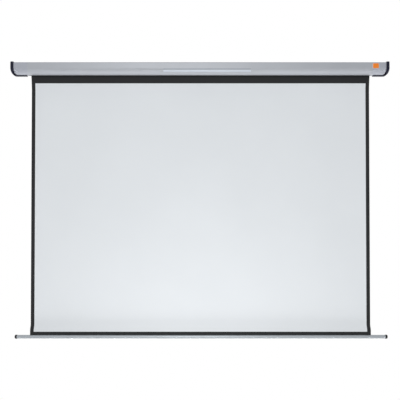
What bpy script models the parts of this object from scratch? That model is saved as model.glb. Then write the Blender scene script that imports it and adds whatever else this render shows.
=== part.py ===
"""Motorized projector screen: a case on the wall, a roller with a tubular motor in it,
and a 4:3 picture sheet that hangs from the roller with a bar in its lower hem.

Metres, +Z up. X runs along the case, the wall is the plane y = 0 and the picture faces -Y.
The origin is the centre of the case's flat back. The screen is modelled fully let down.
"""

import math

import bmesh
import bpy
from mathutils import Matrix, Vector

MM = 0.001

# Fit between pieces that touch, and between a shaft and its bearing.
gap = 0.3 * MM
running = 0.12 * MM

# How far shapes that are joined run into each other, and a cutter past the piece that it cuts.
lap = 1 * MM
past = 5 * MM

# The picture sheet, flat.
picture_width = 1928 * MM  # flat: it shows 1920 once the sides are drawn in
picture_height = 1440 * MM
border_side = 20.2 * MM
border_hem = 19.6 * MM
picture_drop = 43.5 * MM  # black shown between the case's underside and the picture
fabric_thickness = 0.5 * MM
side_draw = 4.1 * MM  # how far each free side edge is drawn in
draw_end = 40 * MM  # height over which it is pulled straight above the bar
flat_hem = 22 * MM  # straight part of the side edges above the bar
fabric_shift = 3 * MM  # the sheet hangs this far right of the case's centre
wraps_left = 2  # turns of sheet that stay on the roller

# The case, an extrusion.
case_room = 8.8 * MM  # from half the sheet's width to the case's end
case_height = 68.5 * MM
case_depth = 84 * MM
case_wall = 2 * MM
crease_height = 1.4 * MM  # the fold along the front, above the origin
front_sweep = 40 * MM  # how far back the lower front curves
top_corner = 4 * MM
least_corner = 1 * MM
slot_front = 26.5 * MM
slot_back = 8.5 * MM
slot_lip = 4 * MM
port_radius = 4 * MM
port_bore = 1.7 * MM
port_slit = 1.4 * MM
port_sink = 0.5 * MM  # how far a port's tube runs into the wall
port_behind = 14 * MM  # the upper back port, from the wall
port_slope = 30  # degrees down the lower front's curve to the lower front port

# The hanging rail in the case's back and the brackets that it hooks on.
rail_low = 4.5 * MM
rail_high = 26.5 * MM
rail_depth = 7 * MM
rail_lip = 4 * MM
bracket_length = 70 * MM
bracket_inset = 273 * MM  # from the case's end to the middle of a bracket
bracket_plate = 2.4 * MM
bracket_slot_width = 6.4 * MM
bracket_slot_length = 12 * MM
bracket_slot_spacing = 44 * MM

# The inlay in the lower front.
inlay_length = 505 * MM
inlay_shift = 42 * MM
inlay_room = 6 * MM  # bare groove at each end of the inlay
inlay_pocket = 1.1 * MM
inlay_thickness = 0.6 * MM
inlay_step = 0.3 * MM  # how much lower the upper part lies
inlay_bead = 0.9 * MM
inlay_start, inlay_fold, inlay_finish = 3, 17, 40  # degrees down the lower front's curve

# The moulded end covers and the dark bumpers round them.
cover_length = 82.6 * MM
cover_wall = 2.5 * MM
cover_corner = (24 * MM, 20 * MM)  # along the case, and in height
cover_edge = 6 * MM
bumper_side = 16 * MM
bumper_proud = 5 * MM
bumper_front = 3 * MM
bumper_corner = (28 * MM, 26 * MM)
bumper_edge = 3 * MM
bumper_behind = 1 * MM  # from the wall
bumper_least = 6 * MM  # least height of its lower front's curve
tongue_length = 88.5 * MM
tongue_depth = 39 * MM

# The roller.
roller_axis_y = -41 * MM
roller_axis_z = 0.0
tube_radius = 25 * MM
tube_wall = 1.5 * MM
tube_overhang = 1 * MM  # bare tube at each edge of the sheet
groove_radius = 1.9 * MM
groove_opening = 1.5 * MM
groove_depth = 3.4 * MM  # from the tube's surface to the groove's centre
groove_wall = 1.5 * MM

# The end plates, the motor and its head.
plate_thickness = 3 * MM
screw_hole = 1.8 * MM
motor_radius = 17.5 * MM
motor_wall = 1.2 * MM
motor_length = 420 * MM
neck_radius = 18 * MM
neck_length = 10.3 * MM
neck_root = 4 * MM  # how far the neck runs into the head
spigot_length = 15 * MM
head_width = 46 * MM
head_height = 52 * MM
head_length = 26 * MM
head_corner = 10 * MM
crown_sleeve = 15 * MM
core_boss_radius = 7 * MM
core_boss_length = 2 * MM
capacitor_radius = 12 * MM
capacitor_length = 50 * MM
capacitor_clear = 5 * MM
wiring_room = 13.9 * MM  # from the head's spigot to the capacitor
limit_screw_radius = 3 * MM
limit_screw_length = 9 * MM
limit_screw_spacing = 20 * MM
limit_screw_proud = 1 * MM
limit_socket_radius = 1.7 * MM
limit_socket_depth = 4 * MM

# The last planetary stage of the motor's gearbox.
gear_module = 0.55 * MM
sun_teeth = 12
planet_teeth = 18
ring_teeth = sun_teeth + 2 * planet_teeth
planets = 3
pressure_angle = 25
addendum = 0.8
dedendum = 1.15
backlash = 0.14 * MM
gear_width = 9 * MM
gear_clear = 3 * MM  # from the core to the gears
ring_overrun = 2 * MM
carrier_disc = 3.5 * MM
carrier_radius = 12.3 * MM
pin_radius = 1.6 * MM
sun_shaft = 2.2 * MM
sun_reach = 10 * MM  # of its shaft into the core
shaft_radius = 5 * MM
shaft_square = 8 * MM
wheel_clear = 3 * MM  # from the casing to the drive wheel
bush_length = 10 * MM
wheel_length = 22 * MM
wheel_holes = 5
wheel_hole_radius = 4 * MM
wheel_hole_ring = 14 * MM

# The idler end.
idler_pin_radius = 6 * MM
idler_bush_radius = 9 * MM
idler_length = 40 * MM
idler_flange = 15 * MM
idler_head = 3 * MM
idler_rim = 2 * MM
idler_neck_radius = 17.5 * MM

# The connection box, its lead and the inlet in the left cover's roof.
box_size = (36 * MM, 60 * MM, 37 * MM)
box_wall = 1.6 * MM
box_lid = 1.5 * MM
box_clear = 3 * MM  # from the motor's head
box_shift = 3 * MM  # nearer to the wall than the roller
block_rise = 12 * MM
block_size = (14 * MM, 34 * MM, 14 * MM)
lead_radius = 3 * MM
lead_drop = 20 * MM
inlet_bore = 3.6 * MM
inlet_neck = 5 * MM
inlet_flange = 7 * MM
inlet_rim = 1.2 * MM
inlet_lip = 1 * MM
inlet_place = 22 * MM  # from the wall

# The bar in the lower hem.
bar_overhang = 92.3 * MM  # past the sheet, at each end
bar_height = 20.5 * MM
bar_depth = 23 * MM
bar_roof = 2.2 * MM  # over the hem's channel
bar_web = 1.5 * MM
bar_floor = 1.8 * MM
bar_hollow_width = 13 * MM
bar_shift = 7 * MM
bar_cap_height = 23.5 * MM
bar_cap_length = 15 * MM
bar_cap_dome = 7 * MM
bar_cap_bow = 3 * MM
bar_cap_rim = 0.5 * MM  # level part of its tips
hem_rod_radius = 3 * MM
hem_rod_proud = 2 * MM
hem_rise = 2 * MM

# Places worked out from the sizes above.
top = case_height / 2
bottom = -case_height / 2
front = -case_depth
fabric_width = picture_width + 2 * border_side
case_end = fabric_width / 2 + case_room
cover_end = case_end + cover_length
outer_end = cover_end + bumper_side
tube_left = fabric_shift - fabric_width / 2 - tube_overhang
tube_right = fabric_shift + fabric_width / 2 + tube_overhang
wound_radius = tube_radius + gap + wraps_left * fabric_thickness
sheet_back = roller_axis_y + wound_radius + gap + fabric_thickness
sheet_middle = sheet_back - fabric_thickness / 2
picture_top = bottom - picture_drop
bar_length = fabric_width + 2 * bar_overhang
bar_top = picture_top - picture_height - border_hem
bar_middle = bar_top - bar_height / 2
plate_inner = case_end + gap
plate_outer = plate_inner + plate_thickness
groove_centre = tube_radius - groove_depth
key_radius = groove_radius + groove_wall
tube_bore = tube_radius - tube_wall

# Colours as linear red, green, blue, then roughness and metallic.
finishes = {
    "silver": ((0.42, 0.44, 0.48), 0.42, 0.85),
    "silver_plastic": ((0.42, 0.44, 0.49), 0.4, 0.2),
    "dark_plastic": ((0.022, 0.024, 0.042), 0.45, 0.0),
    "black_plastic": ((0.02, 0.02, 0.022), 0.5, 0.0),
    "bright_strip": ((0.62, 0.66, 0.72), 0.25, 0.9),
    "steel": ((0.5, 0.5, 0.5), 0.35, 1.0),
    "zinc": ((0.45, 0.46, 0.48), 0.4, 0.9),
    "brass": ((0.6, 0.45, 0.18), 0.3, 1.0),
    "nylon": ((0.75, 0.74, 0.7), 0.5, 0.0),
    "sheet": ((0.74, 0.76, 0.78), 0.85, 0.0),
    "rubber": ((0.02, 0.02, 0.02), 0.8, 0.0),
}


def clear_scene():
    for thing in list(bpy.data.objects):
        bpy.data.objects.remove(thing, do_unlink=True)


def new_collection(name):
    collection = bpy.data.collections.new(name)
    bpy.context.scene.collection.children.link(collection)
    return collection


def new_material(name, colour, roughness, metallic):
    material = bpy.data.materials.new(name)
    material.use_nodes = True
    shader = material.node_tree.nodes["Principled BSDF"]
    shader.inputs["Base Color"].default_value = (*colour, 1.0)
    shader.inputs["Roughness"].default_value = roughness
    shader.inputs["Metallic"].default_value = metallic
    return material


clear_scene()
screen_parts = new_collection("motorized_projector_screen")
cutters = new_collection("cutters")


def mesh_object(name, mesh, place=(0, 0, 0)):
    thing = bpy.data.objects.new(name, mesh)
    thing.location = place
    screen_parts.objects.link(thing)
    return thing


def finish(thing, look, sharp=35):
    """Gives a piece its own material and smooth shading between its sharp edges."""
    thing.data.materials.clear()
    thing.data.materials.append(new_material(thing.name, *finishes[look]))
    thing.data.shade_smooth()
    thing.data.set_sharp_from_angle(angle=math.radians(sharp))
    return thing


def as_cutter(thing):
    screen_parts.objects.unlink(thing)
    cutters.objects.link(thing)
    thing.hide_render = True
    thing.display_type = "WIRE"
    return thing


def combine(thing, other, operation="DIFFERENCE"):
    modifier = thing.modifiers.new(other.name, "BOOLEAN")
    modifier.operation = operation
    modifier.solver = "EXACT"
    modifier.object = as_cutter(other)
    return thing


def box(name, low, high):
    low, high = Vector(low), Vector(high)
    mesh = bpy.data.meshes.new(name)
    shape = bmesh.new()
    bmesh.ops.create_cube(shape, size=1.0)
    bmesh.ops.scale(shape, vec=high - low, verts=shape.verts)
    shape.to_mesh(mesh)
    shape.free()
    return mesh_object(name, mesh, (low + high) / 2)


def rod(name, radius, start, finish_at, sides=32):
    """A cylinder from one point to another."""
    start, finish_at = Vector(start), Vector(finish_at)
    along = finish_at - start
    mesh = bpy.data.meshes.new(name)
    shape = bmesh.new()
    bmesh.ops.create_cone(
        shape, cap_ends=True, segments=sides, radius1=radius, radius2=radius, depth=along.length
    )
    turn = Vector((0, 0, 1)).rotation_difference(along).to_matrix().to_4x4()
    shape.transform(turn)
    shape.to_mesh(mesh)
    shape.free()
    return mesh_object(name, mesh, (start + finish_at) / 2)


def prism(name, loops, low, high, centre=(0, 0), along="X"):
    """A flat outline, with any holes, drawn out along X or Y. Its points are (y, z) or (x, z) from centre."""
    curve = bpy.data.curves.new(name, "CURVE")
    curve.dimensions = "2D"
    curve.fill_mode = "BOTH"
    curve.extrude = (high - low) / 2
    for loop in loops:
        spline = curve.splines.new("POLY")
        spline.points.add(len(loop) - 1)
        for point, (u, v) in zip(spline.points, loop):
            point.co = (u, v, 0, 1)
        spline.use_cyclic_u = True
    drawn = bpy.data.objects.new(name, curve)
    screen_parts.objects.link(drawn)
    graph = bpy.context.evaluated_depsgraph_get()
    mesh = bpy.data.meshes.new_from_object(drawn.evaluated_get(graph))
    bpy.data.objects.remove(drawn)
    bpy.data.curves.remove(curve)
    mesh.name = name
    middle = (low + high) / 2
    if along == "X":
        axes = Matrix(((0, 0, 1, 0), (1, 0, 0, 0), (0, 1, 0, 0), (0, 0, 0, 1)))
        place = (middle, centre[0], centre[1])
    else:
        axes = Matrix(((1, 0, 0, 0), (0, 0, -1, 0), (0, 1, 0, 0), (0, 0, 0, 1)))
        place = (centre[0], middle, centre[1])
    shape = bmesh.new()
    shape.from_mesh(mesh)
    shape.transform(axes)
    bmesh.ops.remove_doubles(shape, verts=shape.verts, dist=0.001 * MM)
    bmesh.ops.recalc_face_normals(shape, faces=shape.faces)
    shape.to_mesh(mesh)
    shape.free()
    return mesh_object(name, mesh, place)


def turned(name, profile, place, steps=40, closed=False):
    """A profile of (radius, distance along X) points, outer side first from the far end, turned about X."""
    mesh = bpy.data.meshes.new(name)
    corners = [(radius, 0, along) for radius, along in profile]
    edges = [(i, i + 1) for i in range(len(corners) - 1)]
    if closed:
        edges.append((len(corners) - 1, 0))
    mesh.from_pydata(corners, edges, [])
    thing = mesh_object(name, mesh, place)
    thing.rotation_euler = (0, math.pi / 2, 0)
    screw = thing.modifiers.new("turn", "SCREW")
    screw.axis = "Z"
    screw.steps = steps
    screw.render_steps = steps
    screw.use_merge_vertices = True
    screw.merge_threshold = 0.01 * MM
    graph = bpy.context.evaluated_depsgraph_get()
    thing.data = bpy.data.meshes.new_from_object(thing.evaluated_get(graph))
    thing.modifiers.remove(screw)
    return thing


def ring_profile(outer, inner, low, high):
    return [(outer, high), (outer, low), (inner, low), (inner, high)]


def loft(name, stations):
    """A closed skin through sections with the same number of points: stations are (x, [(y, z), ...])."""
    shape = bmesh.new()
    rings = [[shape.verts.new((x, y, z)) for y, z in section] for x, section in stations]
    for near, far in zip(rings, rings[1:]):
        for i in range(len(near)):
            j = (i + 1) % len(near)
            shape.faces.new((near[i], near[j], far[j], far[i]))
    shape.faces.new(rings[0][::-1])
    shape.faces.new(rings[-1])
    bmesh.ops.recalc_face_normals(shape, faces=shape.faces)
    mesh = bpy.data.meshes.new(name)
    shape.to_mesh(mesh)
    shape.free()
    return mesh_object(name, mesh)


def arc(centre, radii, start, finish_at, steps):
    """Points of an ellipse's arc between two angles in degrees, both ends included."""
    points = []
    for i in range(steps + 1):
        angle = math.radians(start + (finish_at - start) * i / steps)
        points.append((centre[0] + radii[0] * math.cos(angle), centre[1] + radii[1] * math.sin(angle)))
    return points


def turn_points(points, degrees):
    c, s = math.cos(math.radians(degrees)), math.sin(math.radians(degrees))
    return [(c * u - s * v, s * u + c * v) for u, v in points]


def circle(radius, steps=32, centre=(0, 0)):
    return arc(centre, (radius, radius), 0, 360 * (steps - 1) / steps, steps - 1)


def section(inset=0.0, lift=0.0, draw_in=0.0, rear=0.0, steps=12):
    """The case's closed outline from its lower back corner, round by the front. Lift raises its underside."""
    low, high, face = bottom + inset + lift, top - inset, front + inset + draw_in
    sweep, corner = front_sweep - inset, max(top_corner - inset, least_corner)
    outline = [(rear, low)]
    outline += arc((face + sweep, crease_height), (sweep, crease_height - low), 270, 180, steps)
    outline += arc((face + corner, high - corner), (corner, corner), 180, 90, 4)
    outline.append((rear, high))
    return outline


def curve_point(degrees, inset):
    """A point of the lower front's curve: an angle down from the crease, a distance in from the surface."""
    angle = math.radians(180 + degrees)
    across, down = front_sweep - inset, crease_height - bottom - inset
    return front + front_sweep + across * math.cos(angle), crease_height + down * math.sin(angle)


def port_places():
    """Centres of the four screw ports, each run a little into the wall that carries it."""
    inset = case_wall + port_radius - port_sink
    return ((front + inset, top - inset), (-port_behind - port_radius, top - inset),
            curve_point(port_slope, inset), (-inset, bottom + inset))


def case_profile():
    wall = case_wall
    low, high = bottom, top
    outer = [(-slot_front, low)]
    outer += arc((front + front_sweep, crease_height), (front_sweep, crease_height - low), 270, 180, 20)
    outer += arc((front + top_corner, high - top_corner), (top_corner, top_corner), 180, 90, 5)
    outer += [(0, high), (0, rail_high - rail_lip), (-wall, rail_high - rail_lip), (-wall, rail_high)]
    outer += [(-rail_depth, rail_high), (-rail_depth, rail_low), (0, rail_low), (0, low), (-slot_back, low)]
    lip = low + wall + slot_lip
    inner = [(-slot_back, lip), (-slot_back + wall, lip), (-slot_back + wall, low + wall)]
    inner += [(-wall, low + wall), (-wall, rail_low - wall), (-rail_depth - wall, rail_low - wall)]
    inner += [(-rail_depth - wall, rail_high + wall), (-wall, rail_high + wall), (-wall, high - wall)]
    inset = top_corner - wall
    inner += arc((front + top_corner, high - top_corner), (inset, inset), 90, 180, 5)
    radii = (front_sweep - wall, crease_height - low - wall)
    inner += arc((front + front_sweep, crease_height), radii, 180, 270, 20)
    inner += [(-slot_front - wall, low + wall), (-slot_front - wall, lip), (-slot_front, lip)]
    case = prism("case_profile", [outer + inner], -case_end, case_end)
    for number, (across, up) in enumerate(port_places()):
        towards = math.degrees(math.atan2(-up, roller_axis_y - across))
        half = math.degrees(math.asin(port_slit / 2 / port_bore))
        wide = math.degrees(math.asin(port_slit / 2 / port_radius))
        shell = arc((0, 0), (port_radius, port_radius), wide, 360 - wide, 18)
        shell += arc((0, 0), (port_bore, port_bore), 360 - half, half, 12)
        shell = turn_points(shell, towards)
        port = prism(f"screw_port_{number}", [shell], -case_end, case_end, (across, up))
        combine(case, port, "UNION")
        combine(case, rod(f"port_bore_{number}", port_bore, (-case_end - gap, across, up),
                          (case_end + gap, across, up), 12))
    combine(case, inlay_band("inlay_pocket", -past, inlay_pocket, inlay_length / 2 + inlay_room,
                             inlay_start - 1, inlay_finish + 1))
    return finish(case, "silver")


def inlay_band(name, outer_inset, inner_inset, half_length, start, finish_at):
    """A band of the lower front's curve between two depths."""
    steps = 10
    angles = [start + (finish_at - start) * i / steps for i in range(steps + 1)]
    outline = [curve_point(a, outer_inset) for a in angles]
    outline += [curve_point(a, inner_inset) for a in reversed(angles)]
    return prism(name, [outline], inlay_shift - half_length, inlay_shift + half_length)


def front_inlay():
    """A strip in the groove of the lower front: its upper part lies low, its lower part is a raised bead."""
    steps = 6
    back = inlay_pocket - gap
    upper = [inlay_start + (inlay_fold - inlay_start) * i / steps for i in range(steps + 1)]
    lower = [inlay_fold + (inlay_finish - inlay_fold) * i / steps for i in range(steps + 1)]
    outline = [curve_point(a, back - inlay_thickness + inlay_step) for a in upper]
    for i, a in enumerate(lower):
        rise = inlay_bead * math.sin(math.pi * i / steps)
        outline.append(curve_point(a, back - inlay_thickness - rise))
    outline += [curve_point(a, back) for a in reversed(upper + lower[1:])]
    start = inlay_shift - inlay_length / 2
    return finish(prism("front_inlay", [outline], start, start + inlay_length), "bright_strip")


def cover_stations(outset=0.0, wall=0.0, inner_start=case_end + gap):
    """Sections of an end cover from the case outwards. Its lower outer corner and front edge are rounded."""
    across, up = cover_corner
    end = cover_end - wall + outset
    inset = wall - outset
    spread = across - wall + outset
    rise = up - wall + outset
    bend = end - spread
    stations = [(inner_start, section(inset, rear=-wall + outset))]
    for degrees in range(0, 91, 10):
        x = bend + spread * math.sin(math.radians(degrees))
        lift = rise * (1 - math.cos(math.radians(degrees)))
        into_edge = max(0.0, cover_edge - (end - x)) / cover_edge
        draw_in = cover_edge / 2 * (1 - math.sqrt(max(0.0, 1 - into_edge**2)))
        stations.append((x, section(inset, lift, draw_in, rear=-wall + outset)))
    return stations


def end_cover(name, side):
    cover = loft(name, [(side * x, points) for x, points in cover_stations()])
    hollow = loft(f"{name}_hollow", [(side * x, points) for x, points in cover_stations(
        wall=cover_wall, inner_start=case_end - past)])
    return combine(cover, hollow)


def bumper_stations():
    across, up = bumper_corner
    floor = bottom - bumper_proud
    start = outer_end - tongue_length
    bend = outer_end - across
    stations = []
    angles = [0, 15, 30, 42, 54, 64, 73, 81, 90]
    places = [(start, 0.0)] + [(bend + across * math.sin(math.radians(a)),
                                up * (1 - math.cos(math.radians(a)))) for a in angles]
    for x, lift in places:
        into_edge = max(0.0, bumper_edge - (outer_end - x)) / bumper_edge
        rounding = bumper_edge * (1 - math.sqrt(max(0.0, 1 - into_edge**2)))
        face = front - bumper_front + rounding
        high = top + bumper_proud - rounding
        low = floor + lift
        sweep = front_sweep + bumper_front
        rise = max(crease_height, low + bumper_least)
        outline = [(-bumper_behind, low)]
        outline += arc((face + sweep, rise), (sweep, rise - low), 270, 180, 10)
        corner = top_corner + bumper_front
        outline += arc((face + corner, high - corner), (corner, corner), 180, 90, 4)
        outline.append((-bumper_behind, high))
        stations.append((x, outline))
    return stations


def end_bumper(name, side):
    """A dark trim over the end and under the rear half of the cover."""
    bumper = loft(name, [(side * x, points) for x, points in bumper_stations()])
    room = loft(f"{name}_room", [(side * x, points) for x, points in cover_stations(
        outset=gap, inner_start=case_end - past)])
    combine(bumper, room)
    near, far = sorted((side * (case_end - past), side * (cover_end + gap)))
    reach = 4 * past
    combine(bumper, box(f"{name}_front_cut", (near, front - reach, bottom - reach),
                        (far, -tongue_depth, top + reach)))
    combine(bumper, box(f"{name}_top_cut", (near, front - reach, crease_height),
                        (far, reach, top + reach)))
    return finish(bumper, "dark_plastic")


def plate_outline():
    inset = cover_wall + gap
    return section(inset, rear=-inset, steps=10)


def end_plates():
    left = prism("end_plate_left", [plate_outline()], -plate_outer, -plate_inner)
    combine(left, rod("motor_hole", neck_radius + gap, (-plate_outer - gap, roller_axis_y, roller_axis_z),
                      (-plate_inner + gap, roller_axis_y, roller_axis_z), 40))
    right = prism("end_plate_right", [plate_outline()], plate_inner, plate_outer)
    combine(right, rod("idler_hole", idler_pin_radius + gap,
                       (plate_inner - gap, roller_axis_y, roller_axis_z),
                       (plate_outer + gap, roller_axis_y, roller_axis_z), 24))
    for plate, side in ((left, -1), (right, 1)):
        for number, (across, up) in enumerate(port_places()):
            combine(plate, rod(f"{plate.name}_screw_hole_{number}", screw_hole,
                               (side * (plate_inner - gap), across, up),
                               (side * (plate_outer + gap), across, up), 12))
        finish(plate, "zinc")


def wall_bracket(name, side):
    """A pressed hook in the rail: a flat foot on the wall and a tongue that stands up behind its lip."""
    t = bracket_plate
    foot_low = rail_low + gap
    foot_high = rail_high - rail_lip - gap
    jog = case_wall + gap
    tongue_top = rail_high - gap
    outline = [(0, foot_low), (0, foot_high - t), (-jog, foot_high), (-jog, tongue_top),
               (-jog - t, tongue_top), (-jog - t, foot_high - t / 2), (-t, foot_high - 2 * t), (-t, foot_low)]
    middle = side * (case_end - bracket_inset)
    bracket = prism(name, [outline], middle - bracket_length / 2, middle + bracket_length / 2)
    half_run = bracket_slot_length / 2 - bracket_slot_width / 2
    half_width = bracket_slot_width / 2
    slot_height = (foot_low + foot_high - 2 * t) / 2
    for hand in (-1, 1):
        slot = arc((half_run, 0), (half_width, half_width), -90, 90, 8)
        slot += arc((-half_run, 0), (half_width, half_width), 90, 270, 8)
        centre = (middle + hand * bracket_slot_spacing / 2, slot_height)
        combine(bracket, prism(f"{name}_slot_{hand}", [slot], -2 * t, t, centre, along="Y"))
    return finish(bracket, "zinc")


def keyed_circle(radius, steps=40):
    """A round outline with a notch over the tube's inner key, for what sits in the tube."""
    bite = key_radius + gap
    meet = math.acos((radius**2 + groove_centre**2 - bite**2) / (2 * radius * groove_centre))
    at_bite = math.degrees(math.atan2(radius * math.sin(meet), radius * math.cos(meet) - groove_centre))
    meet = math.degrees(meet)
    outline = arc((0, 0), (radius, radius), meet, 360 - meet, steps)
    outline += arc((groove_centre, 0), (bite, bite), 360 - at_bite, at_bite, 10)[1:-1]
    return turn_points(outline, 180)


def roller_tube():
    """An extruded tube with a keyhole groove for the sheet's spline, which makes an inner key."""
    open_at = math.degrees(math.asin(groove_opening / 2 / tube_radius))
    bend_at = math.degrees(math.asin(groove_opening / 2 / groove_radius))
    outer = arc((0, 0), (tube_radius, tube_radius), open_at, 360 - open_at, 44)
    outer += arc((groove_centre, 0), (groove_radius, groove_radius), 360 - bend_at, bend_at, 14)
    bite = key_radius
    meet = math.acos((tube_bore**2 + groove_centre**2 - bite**2) / (2 * tube_bore * groove_centre))
    at_bite = math.degrees(math.atan2(tube_bore * math.sin(meet), tube_bore * math.cos(meet) - groove_centre))
    meet = math.degrees(meet)
    inner = arc((0, 0), (tube_bore, tube_bore), meet, 360 - meet, 44)
    inner += arc((groove_centre, 0), (bite, bite), 360 - at_bite, at_bite, 12)[1:-1]
    tube = prism("roller_tube", [turn_points(outer, 180), turn_points(inner, 180)], tube_left, tube_right,
                 (roller_axis_y, roller_axis_z))
    return finish(tube, "silver")


def fabric_on_roller():
    half = fabric_width / 2
    axis = (fabric_shift, roller_axis_y, roller_axis_z)
    wound = turned("fabric_wound", ring_profile(wound_radius, tube_radius + gap, -half, half), axis, 44, True)
    finish(wound, "sheet")
    spline = rod("fabric_spline", groove_radius - gap,
                 (fabric_shift - half, roller_axis_y - groove_centre, roller_axis_z),
                 (fabric_shift + half, roller_axis_y - groove_centre, roller_axis_z), 14)
    finish(spline, "nylon")


def motor_places():
    """Distances along X of what follows the left end plate inwards."""
    neck_end = -plate_inner + neck_length
    casing_start = neck_end + gap
    casing_end = casing_start + motor_length
    bush_start = casing_end - bush_length
    disc_end = bush_start - gap
    disc_start = disc_end - carrier_disc
    gear_end = disc_start - gap
    gear_start = gear_end - gear_width
    core_end = gear_start - gear_clear
    capacitor_start = casing_start + spigot_length + wiring_room
    capacitor_end = capacitor_start + capacitor_length
    core_start = capacitor_end + capacitor_clear
    return {"neck_end": neck_end, "casing_start": casing_start, "casing_end": casing_end,
            "bush_start": bush_start, "disc_start": disc_start, "disc_end": disc_end,
            "gear_start": gear_start, "gear_end": gear_end, "core_start": core_start, "core_end": core_end,
            "capacitor_start": capacitor_start, "capacitor_end": capacitor_end}


def motor_head(at):
    """A moulded head outside the left end plate, with a neck through it for the crown and casing."""
    outline = []
    reach = (head_width / 2 - head_corner, head_height / 2 - head_corner)
    for turn, (across, up) in enumerate(((1, 1), (-1, 1), (-1, -1), (1, -1))):
        corner = (across * reach[0], up * reach[1])
        outline += arc(corner, (head_corner, head_corner), 90 * turn, 90 * turn + 90, 6)
    low = -plate_outer - gap - head_length
    axis = (roller_axis_y, roller_axis_z)
    head = prism("motor_head", [outline], low, -plate_outer - gap, axis)
    neck = [(motor_radius - motor_wall - gap, at["casing_start"] + spigot_length),
            (motor_radius - motor_wall - gap, at["neck_end"]),
            (neck_radius, at["neck_end"]), (neck_radius, -plate_outer - neck_root),
            (0, -plate_outer - neck_root)]
    neck.insert(0, (0, at["casing_start"] + spigot_length))
    combine(head, turned("head_neck", neck, (0, roller_axis_y, roller_axis_z)), "UNION")
    for hand in (-1, 1):
        combine(head, rod(f"limit_screw_hole_{hand}", limit_screw_radius + gap,
                          (low - gap, roller_axis_y + hand * limit_screw_spacing / 2, roller_axis_z),
                          (low + limit_screw_length, roller_axis_y + hand * limit_screw_spacing / 2,
                           roller_axis_z), 20))
    return finish(head, "black_plastic")


def limit_screw(name, hand):
    """A limit setting screw in the head, with a hexagon socket in its outer end."""
    low = -plate_outer - gap - head_length
    place = (roller_axis_y + hand * limit_screw_spacing / 2, roller_axis_z)
    screw = prism(name, [circle(limit_screw_radius, 20)], low - limit_screw_proud,
                  low + limit_screw_length - gap, place)
    combine(screw, prism(f"{name}_socket", [circle(limit_socket_radius, 6)], low - past,
                         low - limit_screw_proud + limit_socket_depth, place))
    return finish(screw, "nylon")


def motor_inside(at):
    axis = (0, roller_axis_y, roller_axis_z)
    bore = motor_radius - motor_wall
    casing = turned("motor_casing", ring_profile(motor_radius, bore, at["casing_start"], at["casing_end"]),
                    axis, 40, True)
    finish(casing, "steel")
    core_radius = bore - gap
    shoulder = at["core_end"] - core_boss_length
    core = [(0, at["core_end"]), (core_boss_radius, at["core_end"]), (core_boss_radius, shoulder),
            (core_radius, shoulder), (core_radius, at["core_start"]), (0, at["core_start"])]
    core = turned("motor_core", core, axis, 40)
    combine(core, rod("sun_bore", sun_shaft + running * 2,
                      (at["core_end"] - sun_reach - lap, roller_axis_y, roller_axis_z),
                      (at["core_end"] + gap, roller_axis_y, roller_axis_z), 20))
    finish(core, "zinc")
    sag = bore - capacitor_radius - gap
    capacitor = rod("motor_capacitor", capacitor_radius,
                    (at["capacitor_start"], roller_axis_y, roller_axis_z - sag),
                    (at["capacitor_end"], roller_axis_y, roller_axis_z - sag), 24)
    finish(capacitor, "nylon")


def involute(base, radius):
    """The angle that an involute has turned through where it reaches a radius."""
    if radius <= base:
        return 0.0
    run = math.sqrt((radius / base) ** 2 - 1)
    return run - math.atan(run)


def gear_outline(teeth, inside=False):
    """A toothed outline with a tooth, or for an inside gear a space, centred on the first axis."""
    pitch = gear_module * teeth / 2
    base = pitch * math.cos(math.radians(pressure_angle))
    thin = -backlash / 4 if inside else backlash / 4
    half_pitch = math.pi * gear_module / 4 / pitch - thin / pitch
    tip = pitch + (dedendum if inside else addendum) * gear_module
    root = pitch - (addendum if inside else dedendum) * gear_module
    first = max(root, base)
    radii = [root] if root < base else []
    radii += [first + (tip - first) * i / 2 for i in range(3)]
    flank = [(r, half_pitch + involute(base, pitch) - involute(base, r)) for r in radii]
    outline = []
    for tooth in range(teeth):
        middle = 2 * math.pi * tooth / teeth
        outline += [(r * math.cos(middle - a), r * math.sin(middle - a)) for r, a in flank]
        outline += [(r * math.cos(middle + a), r * math.sin(middle + a)) for r, a in reversed(flank)]
    return outline


def planet_angles():
    """Each planet's place round the sun and the turn that puts its teeth in mesh, in degrees."""
    places = []
    for number in range(planets):
        place = 90 + 360 * number / planets
        sun_phase = place * sun_teeth / 360
        places.append((place, place + 180 - (0.5 - sun_phase) * 360 / planet_teeth))
    return places


def ring_angle():
    """The turn of the ring that puts its spaces over the first planet's teeth, in degrees."""
    place, turn = planet_angles()[0]
    return place - (place - turn) * planet_teeth / ring_teeth


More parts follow.
